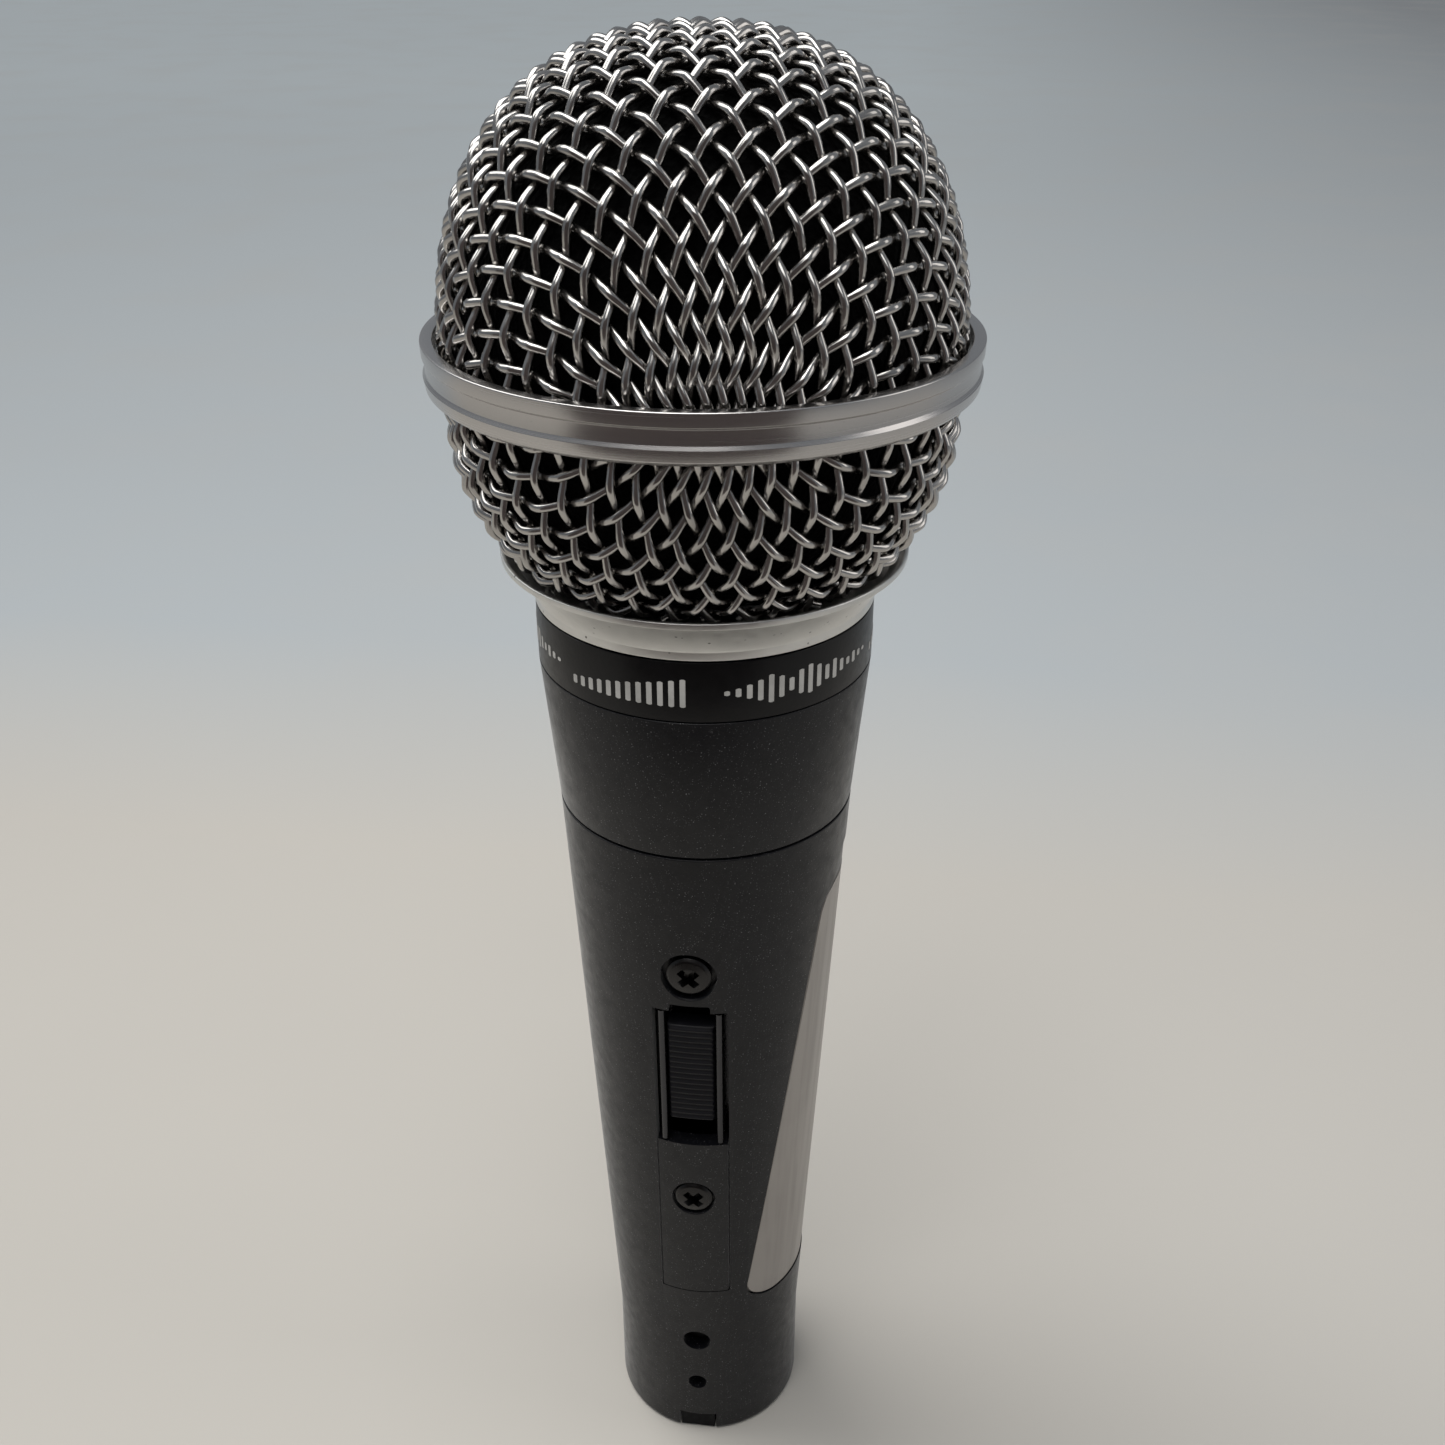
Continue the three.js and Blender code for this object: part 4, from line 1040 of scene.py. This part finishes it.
CAPSULE_PARTS = [
    # name, node, slot, body, material, rounding, profile
    ("mount_rubber", "shock_mount", "rubber", "handle", RUBBER, 0.3,
     [(11.9, 110.5), (13.9, 110.5), (13.9, 122.3), (15.3, 122.3), (15.3, 123.4), (11.9, 123.4)]),
    ("air_chamber", "rear_chamber", "black_plastic", "handle", BLACK_PLASTIC, 0.3,
     [(0, 104), (11.6, 104), (11.6, 123.2), (10.4, 123.2), (10.4, 105.2), (0, 105.2)]),
    ("capsule_case", "capsule_housing", "black_plastic", "handle", BLACK_PLASTIC, 0.25,
     [(4, 123.7), (14.4, 123.7), (14.4, 137.4), (13.2, 137.4), (13.2, 125.2), (4, 125.2)]),
    ("magnet_yoke", "yoke", "steel", "handle", STEEL, 0.2,
     [(2, 125.5), (10.8, 125.5), (10.8, 132.6), (8.7, 132.6), (8.7, 127.4), (2, 127.4)]),
    ("magnet_disc", "magnet", "magnet", "handle", MAGNET, 0.2,
     [(0, 127.7), (6.6, 127.7), (6.6, 131), (0, 131)]),
    ("pole_disc", "pole_piece", "steel", "handle", STEEL, 0.15,
     [(0, 131.3), (7.3, 131.3), (7.3, 132.9), (0, 132.9)]),
    ("seat_ring", "diaphragm_seat", "black_plastic", "handle", BLACK_PLASTIC, 0.2,
     [(11.1, 125.5), (12.9, 125.5), (12.9, 134), (11.1, 134)]),
    ("coil_winding", "voice_coil", "coil_wire", "moving_coil", COPPER, 0.12,
     [(7.65, 130.6), (8.35, 130.6), (8.35, 134.5), (7.65, 134.5)]),
    ("screen_disc", "capsule_screen", "foam", "handle", FOAM, 0.12,
     [(0, 139.5), (13.4, 139.5), (13.4, 140), (0, 140)]),
    ("lead_board", "terminal_board", "board", "handle", BOARD, 0.1,
     [(0, 102.3), (9.8, 102.3), (9.8, 103.7), (0, 103.7)]),
]
for name, node, slot, body, material, round_by, profile in CAPSULE_PARTS:
    part = dress(turned(name, profile, material, INNER_SIDES, round_by), body, slot, node)

FILM_BASE, FILM_THICKNESS = 134.8, 0.25
under = [(8.2 * k / 12, FILM_BASE + 1.8 * (1 - (k / 12) ** 2)) for k in range(13)]
under += [(10.4 - 2.2 * math.cos(math.pi * k / 14), FILM_BASE + 0.8 * math.sin(math.pi * k / 14))
          for k in range(1, 15)]
over = [(r, z + FILM_THICKNESS) for r, z in under][::-1]
film = smooth(face_out(new_object("diaphragm_film", *lathe(under + over, INNER_SIDES), FILM)), 50)
dress(film, "moving_coil", "film", "diaphragm")

cap = new_object("capsule_cap", *lathe(rounded([(0, 137.7), (14.4, 137.7), (14.4, 139.2), (0, 139.2)],
                                               0.2), INNER_SIDES), BLACK_PLASTIC)
for k in range(7):
    x, y = (0, 0) if k == 6 else (8 * math.cos(math.pi * k / 3), 8 * math.sin(math.pi * k / 3))
    combine(cap, "DIFFERENCE", upright_bore(2.2, 136, 141, x, y, 40))
dress(smooth(cap), "handle", "black_plastic", "capsule_front_cap")

BOARD_UNDER, PIN_END, LEAD_RADIUS = 102.0, 25.1, 0.55
LEAD_ROUTES = {
    "lead_capsule_hot": ("lead_red", [(-4, 1, BOARD_UNDER), (-4.5, 2, 94), (-2, 3, 80), (0, 1.8, 70),
                                      (0, -0.4, 65.7)]),
    "lead_capsule_cold": ("lead_white", [(4, 1, BOARD_UNDER), (5.5, 4, 90), (6, 4.5, 60), (3, 5, 38),
                                         (0, PIN_CIRCLE, PIN_END)]),
    "lead_switch_hot": ("lead_yellow", [(0, -0.4, 62.0), (2.5, 1.5, 56), (4, 0.5, 44),
                                        (PIN_CIRCLE, 0, PIN_END)]),
    "lead_ground": ("lead_black", [(0, -0.6, 58.3), (-2.5, 0.8, 52), (-4, 0.5, 42),
                                   (-PIN_CIRCLE, 0, PIN_END)]),
}


def through(points, per_span=10):
    """A smooth path through the points."""
    points = [np.array(p, float) for p in points]
    points = [2 * points[0] - points[1], *points, 2 * points[-1] - points[-2]]
    path = []
    for a, b, c, d in zip(points, points[1:], points[2:], points[3:]):
        for k in range(per_span):
            t = k / per_span
            path.append(((2 * b) + (c - a) * t + (2 * a - 5 * b + 4 * c - d) * t**2
                         + (3 * b - a - 3 * c + d) * t**3) / 2)
    return [*path, points[-2]]


for node, (slot, route) in LEAD_ROUTES.items():
    verts, faces = [], []
    tube_mesh(through(route), LEAD_RADIUS, 14, verts, faces)
    wire = smooth(face_out(new_object(node + "_wire", verts, faces, LEADS[slot])), 50)
    dress(wire, "handle", slot, node)

# The square pieces of the switch keep their CAD solids, with their edges rounded.
KEPT = {"switch_case": BLACK_PLASTIC, "switch_contact": BRASS,
        **{f"switch_terminal_{k}": BRASS for k in (1, 2, 3)}}
EDGE_BEVEL = 0.1 * MM
for node, material in KEPT.items():
    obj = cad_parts[node]
    for place in obj.material_slots:
        place.material = material
    bevel = obj.modifiers.new("bevel", "BEVEL")
    bevel.width = EDGE_BEVEL
    bevel.segments = 2
    bevel.limit_method = "ANGLE"
    bevel.angle_limit = math.radians(35)
    bevel.harden_normals = True

# ---------------------------------------------------------------- floor and light

FLOOR_HALF = 3.0


def flat(name, corners, material):
    """A flat sheet between four corners in metres."""
    mesh = bpy.data.meshes.new(name)
    mesh.from_pydata(corners, [], [(0, 1, 2, 3)])
    mesh.materials.append(material)
    return placed(name, mesh)


sheet = Material("floor_paper", (0.498, 0.474, 0.434), 0.9, specular=0.1)
split = sheet.add("ShaderNodeSeparateXYZ")
sheet.link(sheet.coordinates, split.inputs["Vector"])
# The sheet is warm near the microphone, grey behind it, and darker to the right, where the darkening is
# painted shade: the light's falloff across the floor.
sheet.tint((0.42, 0.448, 0.463), sheet.ramp(split.outputs["Y"], 0.12, 0.22))
sheet.tint((0.52, 0.56, 0.575), sheet.ramp(split.outputs["Y"], 0.35, 1.4))
sheet.tint((0.28, 0.29, 0.30), sheet.ramp(split.outputs["X"], -0.02, 0.7, 0, 0.95))
sheet.tint((0.46, 0.44, 0.41), sheet.ramp(sheet.noise(14, 3), 0.45, 0.8, 0, 0.2))
floor = flat("floor", [(-FLOOR_HALF, -FLOOR_HALF, 0), (FLOOR_HALF, -FLOOR_HALF, 0),
                       (FLOOR_HALF, FLOOR_HALF, 0), (-FLOOR_HALF, FLOOR_HALF, 0)], sheet.data)

world = bpy.data.worlds.new("studio")
SCENE.world = world
world.use_nodes = True
background = world.node_tree.nodes["Background"]
background.inputs["Color"].default_value = (0.86, 0.92, 1.0, 1)
background.inputs["Strength"].default_value = 0.27


def lamp(kind, name, place, aim, power, colour):
    data = bpy.data.lights.new(name, kind)
    data.energy = power
    data.color = colour
    light = placed(name, data)
    light.location = place
    light.rotation_euler = (Vector(aim) - Vector(place)).to_track_quat("-Z", "Y").to_euler()
    return data


def softbox(name, place, size, power, colour):
    data = lamp("AREA", name, place, (0, 0, 0.1), power, colour)
    data.shape = "RECTANGLE"
    data.size, data.size_y = size


window = lamp("SUN", "window", (-0.7, 0.35, 0.95), (0, 0, 0), 1.55, (1, 0.99, 0.97))
window.angle = math.radians(48)
softbox("overhead", (-0.10, -0.05, 0.85), (0.5, 0.4), 3.2, (1, 0.99, 0.97))
softbox("front_top", (-0.05, -0.42, 0.80), (0.5, 0.3), 1.3, (1, 0.99, 0.97))
softbox("right_fill", (0.8, 0.05, 0.45), (0.4, 0.7), 1.2, (1, 0.96, 0.92))

# A dark sheet in front that stands for the shaded side of the room, as painted shade. It is seen only
# in reflections.
CARD_Y, CARD_HALF, CARD_LOW, CARD_HIGH = -0.15, 0.14, 0.012, 0.26
obj = flat("dark_card", [(-CARD_HALF, CARD_Y, CARD_LOW), (CARD_HALF, CARD_Y, CARD_LOW),
                         (CARD_HALF, CARD_Y, CARD_HIGH), (-CARD_HALF, CARD_Y, CARD_HIGH)],
           plastic("painted_shade_card", (0.125, 0.104, 0.102), 0.9, specular=0.1))
obj.visible_camera = False
obj.visible_diffuse = False
obj.visible_shadow = False
obj.visible_transmission = False

SCENE.view_settings.view_transform = "Standard"
